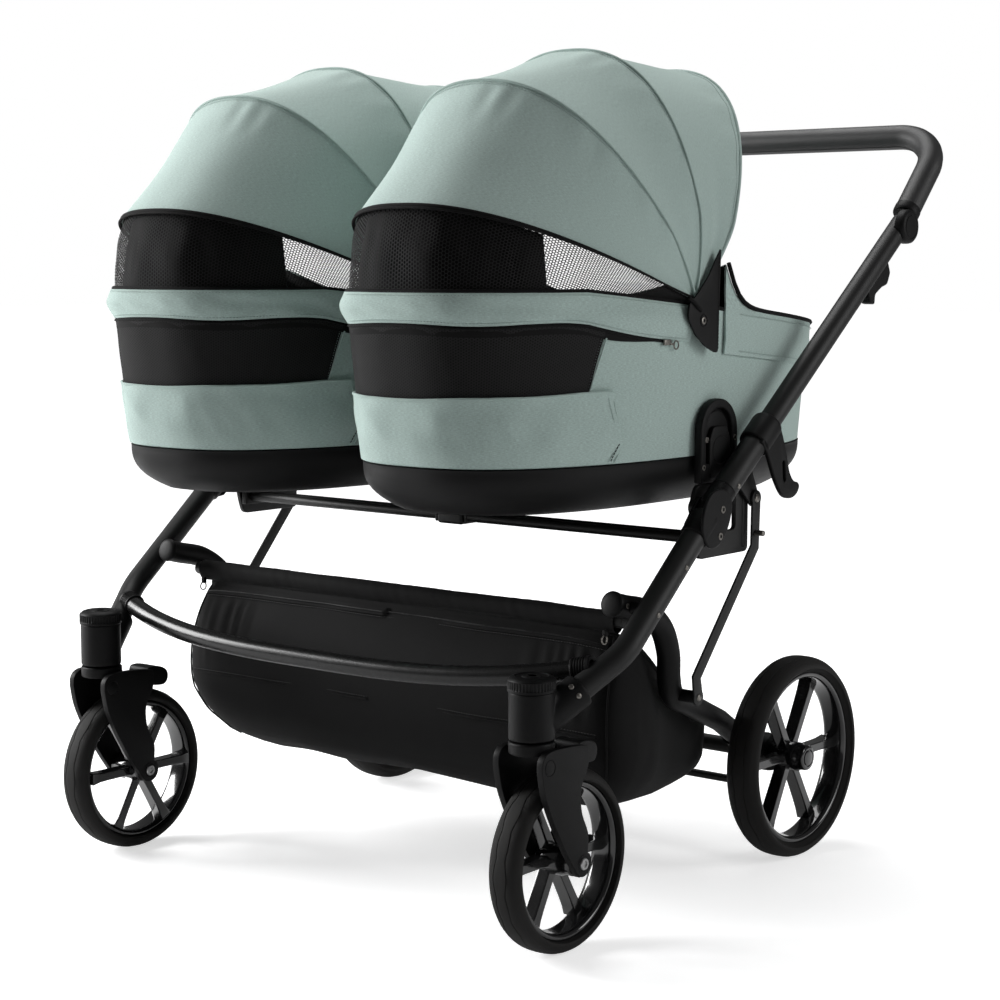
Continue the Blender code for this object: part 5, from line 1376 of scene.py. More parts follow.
def arch_point(arch, share, shrink=0.0, first=FIRST):
    """A point of a hood arch; near the pivot it draws in to where the seams meet."""
    height, lean = arch[0] - shrink, math.radians(arch[1])
    half = HOOD_HALF_WIDTH - shrink
    start = math.asin((first / height) ** (HOOD_POWER / 2))
    angle = start + (math.pi - 2 * start) * share
    across = half * signed(math.cos(angle), 2 / HOOD_POWER)
    reach = height * math.sin(angle) ** (2 / HOOD_POWER)
    y, z = HOOD_PIVOT[0] - reach * math.sin(lean), HOOD_PIVOT[1] + reach * math.cos(lean)
    free = eased((reach - FIRST) / 0.095)
    y = HOOD_GATHER[0] + (y - HOOD_GATHER[0]) * (0.12 + 0.88 * free)
    z = HOOD_GATHER[1] + (z - HOOD_GATHER[1]) * (0.12 + 0.88 * free)
    across -= math.copysign(0.0062 * (1 - free), across)
    return Vector((COT_X + across, y, z))


def thicken(item, thickness, offset=-1.0, inner=None):
    """Make cloth of a surface; the inner side may have its own finish."""
    values = {"thickness": thickness, "offset": offset, "use_even_offset": False}
    if inner:
        item.data.materials.append(finish_of(inner))
        values.update(material_offset=1)
    change(item, "SOLIDIFY", **values)
    return item


def stitches(points, out, tone="thread", radius=0.00045, lift=0.0003):
    """A row of sewn stitches along a line; out gives the way out of the cloth at a point."""
    pitch = bpy.context.scene.pram_look.stitch
    line = [Vector(point) for point in points]
    reach = [0.0]
    for a, b in zip(line, line[1:]):
        reach.append(reach[-1] + (b - a).length)
    bpy.ops.mesh.primitive_cylinder_add(vertices=6, radius=radius, depth=pitch * 0.68, end_fill_type="TRIFAN")
    one = active()
    vertices, faces = [], []
    shape = [vertex.co.copy() for vertex in one.data.vertices]
    sides = [tuple(face.vertices) for face in one.data.polygons]
    bpy.data.objects.remove(one, do_unlink=True)
    index, place = 0, pitch * 0.5
    while place < reach[-1]:
        while reach[index + 1] < place:
            index += 1
        a, b = line[index], line[index + 1]
        spot = a.lerp(b, (place - reach[index]) / max(1e-9, reach[index + 1] - reach[index]))
        way = (b - a).normalized()
        normal = Vector(out(spot)).normalized()
        turn = way.to_track_quat("Z", "Y").to_matrix()
        base = len(vertices)
        for corner in shape:
            vertices.append(spot + normal * lift + turn @ corner)
        faces += [tuple(base + i for i in side) for side in sides]
        place += pitch
    mesh = bpy.data.meshes.new("stitches")
    mesh.from_pydata(vertices, [], faces)
    item = bpy.data.objects.new("stitches", mesh)
    bpy.context.scene.collection.objects.link(item)
    return paint(plain_normals(item), finish_of(tone))


def from_axis(spot):
    """The way out of the carrycot, level."""
    return Vector((spot.x - COT_X, (spot.y - COT_Y) * 0.35, 0.0))


def from_pivot(spot):
    """The way out of the hood."""
    return Vector(((spot.x - COT_X) * 1.2, spot.y - HOOD_PIVOT[0], spot.z - HOOD_PIVOT[1]))


def cot_oval(dx, dy, z, count, scale=1.0):
    """A closed ring of points inside the carrycot's outline at the tub."""
    ring = []
    for i in range(count + 1):
        angle = 2 * math.pi * i / count
        ring.append((COT_X + (COT_HALF_WIDTH - dx) * scale * signed(math.cos(angle), 2 / COT_POWER),
            COT_Y + (COT_HALF_LENGTH - dy) * scale * signed(math.sin(angle), 2 / COT_POWER), z))
    return ring


def make_tub():
    """Moulded tub with a rounded bottom edge and a step under the cloth."""
    profile = []
    for k in range(13):
        h = k / 12
        profile.append((TUB_EDGE_X * (1 - h) ** 2.7, TUB_EDGE_Y * (1 - h) ** 2.7, TUB_BOTTOM + 0.056 * h))
    profile += [(-0.0004, -0.0004, 0.5682), (0.0006, 0.0006, 0.569), (0.002, 0.002, TUB_TOP)]
    rows = [cot_oval(TUB_EDGE_X, TUB_EDGE_Y, TUB_BOTTOM, 160, scale) for scale in (0.0, 0.5, 0.86)]
    rows += [cot_oval(dx, dy, z, 160) for dx, dy, z in profile]
    item = net(rows, closed=True)
    change(item, "SOLIDIFY", thickness=0.0036, offset=-1.0)
    item = dress(tidy(item), "plastic", 50)
    settle_cots(item, "moulded_tub", "black_plastic", "tub")


def ring_rows(levels, columns=193):
    """Rows of points round the carrycot; a level is (share of the wall's height, out)."""
    rows = []
    for share, out in levels:
        row = []
        for i in range(columns):
            angle = 360 * i / (columns - 1)
            flat = wall_point(angle, RIM_HEAD)
            top = rim_height(flat.y)
            z = TUB_TOP + 0.0003 + (top - TUB_TOP - 0.0003) * share
            row.append(wall_point(angle, z, out))
        rows.append(row)
    return rows


def declare_cloth(pair, width, held, *rests, spread=0.9, area=None):
    """Work out each side's cloth area over its width and the names of the pieces it rests on, and keep neither;
    spread is its mean width as a share of its full width.
    """
    for side, piece in zip(("left", "right"), pair):
        used = area or sum(face.area for face in piece.data.polygons) / 2
        round(used / (spread * width), 3)
        [name + "_" + side for name in rests]


def make_wall():
    """Cloth wall with its dark lining and a black binding round the rim."""
    levels = [(k / 14, -0.0006) for k in range(14)]
    levels += [(0.985, -0.0008), (0.998, -0.0022), (1.0, -0.004), (0.996, -0.0062), (0.97, -WALL)]
    levels += [(share, -WALL) for share in (0.85, 0.6, 0.3, 0.1, 0.0)] + [(0.0, -0.0006)]
    item = net(ring_rows(levels), closed=True)
    for vertex in item.data.vertices:
        spot = vertex.co
        level = (spot.z - TUB_TOP) / 0.2
        push = ripple(spot, 11.0, 0.0016) * eased(level * 4) * eased((1.0 - level) * 6 + 0.3)
        way = from_axis(spot).normalized()
        vertex.co = spot + way * push
    paint(item, finish_of("sage"))
    item.data.materials.append(finish_of("lining"))
    middle = Vector((COT_X, COT_Y, 0))
    for face in item.data.polygons:
        away = face.center - middle
        if face.normal.x * away.x + face.normal.y * away.y < 0 or face.normal.z > 0.9:
            face.material_index = 1
    smooth(item, 60)
    edge = []
    for i in range(241):
        flat = wall_point(360 * i / 240, RIM_HEAD)
        edge.append(wall_point(360 * i / 240, rim_height(flat.y) - 0.0022, -0.0022))
    binding = dress(pipe(edge[:-1], 0.003, 12, closed=True), "tape", 60)
    item = joined(item, binding)
    pair = settle_cots(item, "cloth_wall", "sage_fabric", "cot_wall")
    declare_cloth(pair, 2.1, "stretched", "moulded_tub")


def patch(columns, rows, edges, out, wave=0.0, seed=0.0):
    """Cloth laid on the wall; edges gives (left angle, right angle, bottom z, top z) as functions."""
    left, right, bottom, top = edges
    table = []
    for j in range(rows + 1):
        v = j / rows
        row = []
        for i in range(columns + 1):
            u = i / columns
            angle = left(v) + (right(v) - left(v)) * u
            z = bottom(angle) + (top(angle) - bottom(angle)) * v
            point = wall_point(angle, z)
            broad = noise.noise(Vector((angle * 0.055 + seed, v * 1.1, seed)))
            fine = noise.noise(Vector((angle * 0.15 + v * 1.6, v * 2.2 + seed, 1.0)))
            swell = out + wave * math.sin(math.pi * v) * (0.6 + 1.3 * broad + 0.4 * fine)
            swell = max(out * 0.4, swell)
            point = wall_point(angle, z, swell)
            row.append(point)
        table.append(row)
    return table


def head_rim(angle):
    return rim_height(wall_point(angle, RIM_HEAD).y)


def band_bottom(angle):
    """Lower edge of the band under the rim, which dips toward the hood's pivot."""
    side = abs(math.cos(math.radians(angle)))
    dip = 0.0075 * eased((side - 0.8) / 0.2)
    return head_rim(angle) - BAND_DROP - dip + 0.0016 * math.sin(math.radians(angle) * 7)


def flap_top(angle):
    wave = math.cos(math.radians(angle + 100) * 2)
    return 0.6535 - 0.0028 * wave + ripple((angle * 0.05, 3.0, 1.0), 1.0, 0.0022)


def make_band_and_flap():
    """Band under the rim, mesh window below it with its zip, and the rolled-down flap."""
    rim_line = lambda angle: head_rim(angle) - 0.003
    band = net(patch(150, 10, (lambda v: -175.6, lambda v: -4.0, band_bottom, rim_line), 0.0016, 0.0046, 2.0))
    paint(band, finish_of("sage"))
    smooth(thicken(band, 0.0022, -1.0), 60)
    soften(band, 0.0007, 2, 60)
    sweep = [-174 + 1.05 * i for i in range(162)]
    lower = [wall_point(a, band_bottom(a) + 0.0034, 0.0024) for a in sweep]
    upper = [wall_point(a, rim_line(a) - 0.003, 0.0024) for a in sweep]
    zip_bed = net(patch(150, 3,
        (lambda v: -171.0, lambda v: -8.6,
        lambda a: band_bottom(a) - 0.0115 * eased((-6.0 - a) / 22) * eased((a + 174.0) / 22) - 0.0012,
        lambda a: band_bottom(a) + 0.002), 0.0006))
    paint(zip_bed, finish_of("tape"))
    smooth(thicken(zip_bed, 0.0012, -1.0), 60)
    coil = [wall_point(a, band_bottom(a) - 0.0026, 0.0012) for a in [-168 + 0.9 * i for i in range(177)]]
    coil = dress(pipe(coil, 0.0013, 8), "tape", 60)
    window = net(patch(130, 12, (lambda v: -148.5 - 5.8 * v, lambda v: -31.5 + 5.8 * v, lambda a: 0.648,
        lambda a: band_bottom(a) - 0.001), 0.0008, -0.0016, 5.0))
    paint(window, finish_of("close_mesh"))
    smooth(thicken(window, 0.0008, -1.0), 60)
    back = net(patch(110, 6, (lambda v: -148.0 - 5.8 * v, lambda v: -32.0 + 5.8 * v, lambda a: 0.647,
        lambda a: band_bottom(a)), 0.0002))
    paint(back, finish_of("lining"))
    smooth(thicken(back, 0.0004, -1.0), 60)
    seams = []
    for start, tilt in ((-31.5, 5.8), (-148.5, -5.8)):
        line = [wall_point(start + tilt * k / 16, 0.65 + 0.07 * k / 16, 0.0012) for k in range(17)]
        seams.append(dress(pipe(line, 0.0011, 8), "sage", 60))
    right = lambda v: -21.7 - 3.0 * abs(v - 0.25) / 0.75 if v > 0.25 else -24.4 + 2.7 * v / 0.25
    left = lambda v: -180 - right(v)
    flap = net(patch(170, 14, (left, right, lambda a: TUB_TOP + 0.0016, flap_top), 0.0022, 0.0054, 8.0))
    for vertex in flap.data.vertices:
        spot = vertex.co
        top = eased((spot.z - 0.64) / 0.014)
        way = from_axis(spot).normalized()
        vertex.co = spot + way * (top * (0.0022 + ripple(spot, 26.0, 0.0022)))
    paint(flap, finish_of("sage"))
    smooth(thicken(flap, 0.0026, -1.0), 60)
    fold_angles = [left(1.0) + (right(1.0) - left(1.0)) * i / 170 for i in range(171)]
    fold = [wall_point(a, flap_top(a) - 0.0006, 0.0032 + ripple((a * 0.1, 2, 1), 1.0, 0.0012)) for a in fold_angles]
    fold = dress(pipe(fold, 0.0019, 10), "sage", 60)
    edge = [wall_point(right(k / 24) - 1.3, TUB_TOP + 0.004 + (FLAP_TOP - TUB_TOP - 0.004) * k / 24, 0.0036)
        for k in range(25)]
    brink = [wall_point(right(k / 24), TUB_TOP + 0.003 + (FLAP_TOP - TUB_TOP - 0.003) * k / 24, 0.0022)
        for k in range(25)]
    brink = dress(pipe(brink, 0.0016, 8), "sage", 60)
    item = joined(band, zip_bed, coil, window, back, fold, flap, *seams, brink, stitches(lower, from_axis),
        stitches(upper, from_axis), stitches(edge, from_axis), stitches(edge[:7], from_axis, "dark_thread", 0.0007,
        0.0012))
    pair = settle_cots(item, "head_band", "sage_fabric")
    declare_cloth(pair, 1.1, "stretched", "cloth_wall")


def make_zip_pull():
    """Zip slider with its ring at the outer end of the band's zip."""
    spot = wall_point(-9.6, band_bottom(-9.6) - 0.003, 0.0032)
    slider = block((-0.0016, -0.008, -0.0035), (0.0016, 0.007, 0.0035), 0.001)
    ring = spun([(0.0044, -0.0007), (0.0056, -0.0007), (0.006, 0.0), (0.0056, 0.0007), (0.0044, 0.0007),
        (0.004, 0.0)], (0.0018, 0.016, -0.0036), "X", 32)
    bar = block((0.0006, 0.004, -0.0036), (0.0022, 0.0125, -0.001), 0.0006)
    item = joined(slider, ring, bar)
    item.data.transform(Matrix.Translation(spot))
    item = dress(item, "rivet", 35)
    settle_cots(item, "zip_pull", "black_plastic")


def make_vent():
    """Mesh between the rim and the hood's zip."""
    rows = []
    for j in range(15):
        v = j / 14
        row = []
        for i in range(129):
            u = i / 128
            angle = -VENT_START + VENT_RUN * u
            low = wall_point(angle, head_rim(angle) - 0.001, -0.0036)
            high = arch_point((TRIM_ARCH[0] - 0.003, TRIM_ARCH[1] + 0.3), 1 - u, 0.002)
            point = low.lerp(high, v)
            way = Vector((point.x - COT_X, (point.y - COT_Y) * 0.6, 0.1)).normalized()
            folds = ripple((u * 17 + v, v * 1.2, 4.0), 1.0, 0.0052) + ripple((u * 48, v * 2, 1.0), 1.0, 0.0016)
            swell = math.sin(math.pi * v) * (0.0035 + folds)
            row.append(point + way * swell)
        rows.append(row)
    item = net(rows)
    paint(item, finish_of("mesh"))
    area = sum(face.area for face in item.data.polygons)
    smooth(thicken(item, 0.0007, 0.0), 70)
    pair = settle_cots(item, "vent_net", "black_mesh", "vent_panel")
    declare_cloth(pair, 0.98, "stretched", "cloth_wall", spread=0.8 / 0.98, area=area)
    rows = []
    for j in range(9):
        v = j / 8
        row = []
        for i in range(65):
            u = i / 64
            reach = 48.5 - 6.0 * v
            angle = -90 - reach + 2 * reach * u
            low = wall_point(angle, head_rim(angle) - 0.006, -0.011)
            high = arch_point((TRIM_ARCH[0] - 0.006, TRIM_ARCH[1] + 0.2), 1 - (angle + VENT_START) / VENT_RUN, 0.009)
            point = low.lerp(high, v)
            inward = Vector((COT_X - point.x, (COT_Y - point.y) * 0.6, 0)).normalized()
            row.append(point + inward * (0.003 + 0.0045 * math.sin(u * 38 + 2 * v) * math.sin(math.pi * v)))
        rows.append(row)
    curtain = paint(net(rows), finish_of("lining"))
    smooth(thicken(curtain, 0.001, 0.0), 70)
    pair = settle_cots(curtain, "vent_curtain", "black_fabric")
    declare_cloth(pair, 0.6, "hung", "cloth_wall")


def make_trim():
    """Black zip tape along the hood's lower edge, with its teeth."""
    rows = []
    for lean, shrink in ((-0.35, 0.0003), (-0.2, -0.001), (0.2, -0.0012), (0.5, -0.0006), (0.75, 0.0012)):
        rows.append([arch_point((TRIM_ARCH[0], TRIM_ARCH[1] + lean), i / 128, shrink) for i in range(129)])
    tape = net(rows)
    paint(tape, finish_of("tape"))
    smooth(thicken(tape, 0.0012, -1.0), 60)
    teeth = [arch_point((TRIM_ARCH[0], TRIM_ARCH[1] + 0.62), i / 160, -0.001) for i in range(161)]
    teeth = dress(pipe(teeth, 0.0013, 8), "tape", 60)
    settle_cots(joined(tape, teeth), "hood_zip", "black_fabric")


def hood_point(front, back, share, v, out=0.0):
    """A point of the hood's cloth, share of the way along its arches and v of the way between them."""
    a = arch_point(front, share, CLOTH / 2)
    b = arch_point(back, share, CLOTH / 2)
    point = a.lerp(b, v)
    inward = Vector((COT_X, HOOD_PIVOT[0], HOOD_PIVOT[1])) - point
    reach = inward.length
    free = math.sin(math.pi * v)
    dip = HOOD_SAG * free * eased((reach - 0.05) / 0.15)
    soft = ripple(point, 8.0, 0.0034) * free
    lean = front[1] + (back[1] - front[1]) * v
    near = eased((0.245 - abs(reach - 0.045)) / 0.2)
    pleat = math.sin(math.radians(lean) * 15 + 2.0 * noise.noise(Vector((lean * 0.05, share * 3, 1.0))))
    pleat *= 0.003 * near * free * (0.35 + 0.65 * eased((12 - lean) / 40))
    pull = math.sin(share * math.pi * 26 + 3.0 * noise.noise(Vector((share * 9, front[1] * 0.1, 4.0))))
    pull *= 0.0011 * eased((v - 0.62) / 0.34) * eased((1.0 - v) * 12) * eased((reach - 0.16) / 0.1)
    return point + inward.normalized() * (dip + soft + pleat + pull - out)


def panel_rows(front, back, start, end, rows):
    """Rows of the cloth between two arches, from share start to share end of the way."""
    return [[hood_point(front, back, i / (ARCH_COLUMNS - 1), start + (end - start) * j / rows)
        for i in range(ARCH_COLUMNS)] for j in range(rows + 1)]


def make_canopy():
    """Hood cloth in three panels, each split along its fold so that it collapses like a fan."""
    low, mid, full = HOOD_TURN["low"], HOOD_TURN["mid"], HOOD_TURN["open"]
    panels = (("head", TRIM_ARCH, LOW_ARCH, "carrycot", "hood_low", "hood_low", low, "canopy_head", 28),
        ("top", LOW_ARCH, MID_ARCH, "hood_low", "hood_mid", "hood_mid", mid - low, "canopy_top", 24),
        ("back", MID_ARCH, OPEN_ARCH, "hood_mid", "hood_open", "hood_fold", full - mid, "canopy_back", 28))
    for name, front, back, lower, upper, joint, turn, node, count in panels:
        span = front[1] - back[1]
        final = (span - turn) / 2
        keep = math.sin(math.radians(final)) / math.sin(math.radians(span / 2))
        for half, start, end, body, lean in (("lower", 0.0, 0.5, lower, front[1]),
                ("upper", 0.5, 1.0, upper, back[1])):
            item = net(panel_rows(front, back, start, end, count // 2))
            paint(item, finish_of("sage"))
            outward = item.data.polygons[len(item.data.polygons) // 2]
            if from_pivot(outward.center).dot(outward.normal) < 0:
                item.data.flip_normals()
            smooth(thicken(item, CLOTH, -1.0, "lining"), 70)
            nodes = [node] if half == "lower" else []
            pair = settle_cots(item, "hood_%s_%s" % (name, half), "sage_fabric", *nodes, body=body)
            lean = math.radians(lean)
            for side, piece in zip(("left", "right"), pair):
                sign = 1 if side == "left" else -1
                anchor = (sign * COT_X, HOOD_PIVOT[0] + AXLE_Y, HOOD_PIVOT[1])
                joint + "_" + side
                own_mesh(piece)
            declare_cloth(pair, 1.02, "stretched", "bow_low", "bow_mid", spread=0.86 / 1.02)


def make_bows():
    """Hood bows with their flat arms, and the piping of the seams over them."""
    shrink = CLOTH + BOW_RADIUS + 0.0016
    bows = (("low", TRIM_ARCH, LOW_ARCH, 0.0006, 0.0017, 0.972), ("mid", LOW_ARCH, MID_ARCH, 0.0006, 0.0017, 0.972),
        ("open", MID_ARCH, OPEN_ARCH, 0.0014, 0.0024, 0.94))
    for layer, (name, front, arch, sunk, radius, sewn) in enumerate(bows):
        line = [arch_point(arch, i / 96, shrink, 0.034) for i in range(97)]
        bow = dress(pipe(line, BOW_RADIUS, 12), "coat", 60)
        lean = math.radians(arch[1])
        tip = (HOOD_PIVOT[0] - 0.028 * math.sin(lean), HOOD_PIVOT[1] + 0.028 * math.cos(lean))
        arms = []
        for way in (-1, 1):
            x = COT_X + way * (RIM_HALF_WIDTH + 0.0018 + layer * 0.0018)
            arms.append(dress(slab(capsule(HOOD_PIVOT, tip, 0.01, 0.004), x, x + way * 0.0014, 0.0004), "plastic"))
        ridge = dress(pipe([arch_point(arch, i / 192, sunk) for i in range(193)], radius, 12), "sage", 60)
        row = [hood_point(front, arch, i / 192, sewn) for i in range(4, 189)]
        item = joined(bow, *arms, ridge, stitches(row, from_pivot))
        settle_cots(item, "bow_" + name, "frame_black", "hood_bow_" + name, body="hood_" + name)


def make_hinge_cover():
    """Black triangular cover over the hood's pivot, with its recessed screw."""
    outline = [(0.2833, 0.824), (0.2842, 0.8245), (0.2815, 0.76), (0.279, 0.6985), (0.274, 0.6975), (0.251, 0.706),
        (0.229, 0.721), (0.214, 0.741), (0.217, 0.76), (0.233, 0.769), (0.256, 0.79)]
    screw = (0.2475, 0.7375)
    parts = []
    for way in (-1, 1):
        x = COT_X + way * 0.1938
        plate = slab(rounded(outline, 0.0045, 4), x, x + way * 0.0024, 0.0009, 3)
        parts.append(dress(plate, "plastic"))
        face = x + way * 0.0024
        ring = spun([(0.0062, -0.0015), (0.0085, -0.0015), (0.0085, 0.0003), (0.0078, 0.0009), (0.0068, 0.0007),
            (0.0062, -0.0004)], (face, *screw), (way, 0, 0), 36)
        parts.append(dress(ring, "plastic"))
        parts.append(screw_head((face - way * 0.0002, *screw), (way, 0, 0), 0.0046, 0.0008))
        strap = [Vector((face, 0.214, 0.766)), Vector((face + way * 0.0014, 0.224, 0.76)),
            Vector((face + way * 0.001, 0.234, 0.7535)), Vector((face + way * 0.0002, 0.24, 0.75))]
        parts.append(dress(pipe(flowing(strap, 6), 0.0026, 12), "tape", 60))
        edge = [Vector((face + way * 0.0002, 0.2808 - 0.0022 * k / 20, 0.815 - 0.112 * k / 20)) for k in range(21)]
        parts.append(stitches(edge, lambda spot: (way, 0, 0), "dark_thread"))
    settle_cots(joined(*parts), "pivot_cover", "black_plastic")


def apron_edge():
    """Angles of the wall that the apron's skirt covers, and its straight front."""
    return [1.5 + 177.0 * i / 120 for i in range(121)]


def flap_rise(y, x):
    """The side flaps stand up at the apron's front edge."""
    near = math.exp(-((y - APRON_FRONT_Y) / 0.036) ** 1.5 if y > APRON_FRONT_Y else 0.0)
    return 0.07 * near * (abs(x - COT_X) / RIM_HALF_WIDTH) ** 2.2


def make_apron():
    """Cover over the foot end: skirt, black zip, crowned top and raised side flaps."""
    skirt, top = [], []
    angles = apron_edge()
    for level in range(9):
        share = level / 8
        row = []
        for angle in angles:
            base = wall_point(angle, APRON_LEVEL)
            y = max(base.y, APRON_FRONT_Y)
            rim = rim_height(y)
            z = rim - APRON_SKIRT + APRON_SKIRT * share
            point = wall_point(angle, z, APRON_OUT + ripple((angle * 0.04, share * 2, 7), 1.0, 0.0016)
                + 0.0012 * math.sin(math.pi * share))
            point.y = max(point.y, APRON_FRONT_Y)
            row.append(point)
        skirt.append(row)
    for share in (0.33, 0.66, 1.0):
        row = []
        for angle in angles:
            point = wall_point(angle, APRON_LEVEL, APRON_OUT - 0.004 * share)
            point.y = max(point.y, APRON_FRONT_Y)
            lift = flap_rise(point.y, point.x) * share
            point.z = rim_height(point.y) + 0.0016 * share + lift
            point.y += max(0.0, point.z - LEAN_START) * LEAN
            row.append(point)
        skirt.append(row)
    cloth = net(skirt)
    paint(cloth, finish_of("sage"))
    smooth(thicken(cloth, 0.0024, -1.0), 60)
    for k in range(10):
        share = k / 9
        scale = 1.0 - share
        row = []
        for angle in angles:
            edge = wall_point(angle, APRON_LEVEL, APRON_OUT - 0.005)
            edge.y = max(edge.y, APRON_FRONT_Y)
            y = APRON_FRONT_Y + (edge.y - APRON_FRONT_Y) * scale
            x = COT_X + (edge.x - COT_X) * scale
            lift = flap_rise(y, x)
            rise = 0.003 + 0.0085 * eased(share * 2.6)
            z = rim_height(y) + rise + lift + ripple((x, y, 0.3), 14.0, 0.0022) * eased(share * 3)
            row.append(Vector((x, y + max(0.0, z - LEAN_START) * LEAN, z)))
        top.append(row)
    cover = net(top, closed=True)
    if cover.data.polygons[60].normal.z < 0:
        cover.data.flip_normals()
    paint(cover, finish_of("sage"))
    smooth(thicken(cover, 0.0024, -1.0, "lining"), 60)
    line = []
    for angle in angles:
        point = wall_point(angle, APRON_LEVEL, APRON_OUT - 0.001)
        if point.y < APRON_FRONT_Y + 0.012:
            continue
        point.z = rim_height(point.y) + 0.0022 + flap_rise(point.y, point.x)
        point.y += max(0.0, point.z - LEAN_START) * LEAN
        line.append(point)
    tape = dress(pipe(line, 0.003, 10), "tape", 60)
    hem, upper = [], []
    for angle in angles[2:-2]:
        point = wall_point(angle, APRON_LEVEL)
        y = max(point.y, APRON_FRONT_Y)
        for row, drop in ((hem, APRON_SKIRT - 0.0055), (upper, 0.0065)):
            spot = wall_point(angle, rim_height(y) - drop, APRON_OUT + 0.0014)
            spot.y = max(spot.y, APRON_FRONT_Y)
            row.append(spot)
    item = joined(cloth, cover, tape, stitches(hem, from_axis), stitches(upper, from_axis))
    pair = settle_cots(item, "foot_cover", "sage_fabric", "apron")
    declare_cloth(pair, 0.62, "stretched", "cloth_wall")


def make_mattress():
    """Crowned mattress with a piped edge."""
    rows = []
    levels = [(0.05, 0.058, 0.5155), (0.034, 0.042, 0.517), (0.022, 0.026, 0.528), (0.016, 0.02, 0.542),
        (0.014, 0.018, 0.55), (0.02, 0.024, 0.558), (0.034, 0.038, 0.5625), (0.06, 0.07, 0.565), (0.1, 0.15, 0.5665),
        (0.16, 0.3, 0.5672)]
    for dx, dy, z in levels:
        rows.append([(x, y, z + (ripple((x, y, 0), 22.0, 0.003) if z > 0.555 else 0))
            for x, y, _ in cot_oval(dx, dy, z, 128)])
    item = dress(net(rows, closed=True, caps=True), "liner", 60)
    edge = cot_oval(0.015, 0.019, 0.5545, 128)[:-1]
    item = joined(item, dress(pipe(edge, 0.0022, 10, closed=True), "liner", 60))
    pair = settle_cots(item, "soft_mattress", "liner_fabric", "mattress")


def make_adapter():
    """Moulded adapter on the outer side: arch frame, recess, release disc and screws."""
    low, front, back, top = 0.5358, 0.248, 0.33, 0.64
    inner = COT_X + 0.1825
    outer = inner + 0.0115
    radius = (back - front) / 2
    centre = ((front + back) / 2, top - radius)

    def arch(inset, base):
        return ([(front + inset, base), (back - inset, base)] + arc(centre, radius - inset, 0, 180, 24))

    frame_part = slab(arch(0.0, low), inner, outer, 0.0)
    hole = slab(arch(0.0115, 0.56), inner + 0.0035, outer + 0.01, 0.0)
    cut(frame_part, hole)
    soften(frame_part, 0.0022, 4)
    step = slab(arch(0.0155, 0.566), inner + 0.003, inner + 0.0062, 0.0008)
    tongue = slab(rounded([(0.266, 0.54), (0.312, 0.54), (0.312, 0.59), (0.304, 0.606), (0.274, 0.606),
        (0.266, 0.59)], 0.006, 5), inner + 0.005, outer + 0.001, 0.0016, 4)
    disc = spun([(0, 0), (0.0185, 0), (0.0185, 0.0036), (0.0172, 0.0048), (0.01, 0.0052), (0, 0.0052)],
        (outer - 0.003, 0.289, 0.576), "X", 56)
    item = dress(joined(frame_part, step, tongue, disc), "plastic")
    for spot in ((0.26, 0.59), (0.254, 0.556), (0.3235, 0.59)):
        item = joined(item, screw_head(yz(outer - 0.0004, spot), OUTWARD, 0.0036, 0.001))
    settle_pair(item, "click_adapter", "carrycot", "black_plastic", "adapter")


# Basket, as Y and Z in the shaping frame
BASKET_RAIL = (0.133, 0.376)
BASKET_RAIL_HALF = 0.3745
BASKET_FRONT = 0.128
BASKET_BACK = 0.465
BASKET_BACK_TOP = 0.205
BASKET_FLOOR = 0.108
BASKET_FLOOR_FRONT = 0.133
BASKET_HALVES = ((0.128, 0.374), (0.17, 0.369), (0.195, 0.362), (0.245, 0.348), (0.305, 0.326), (0.42, 0.295),
    (0.465, 0.283))
BASKET_CORNER = 11.0
BASKET_COLUMNS = 384


def read_between(table, place):
    """Read a table of (place, value) pairs, straight between its rows."""
    if place <= table[0][0]:
        return table[0][1]
    for (low, first), (high, last) in zip(table, table[1:]):
        if place <= high:
            return first + (last - first) * (place - low) / (high - low)
    return table[-1][1]


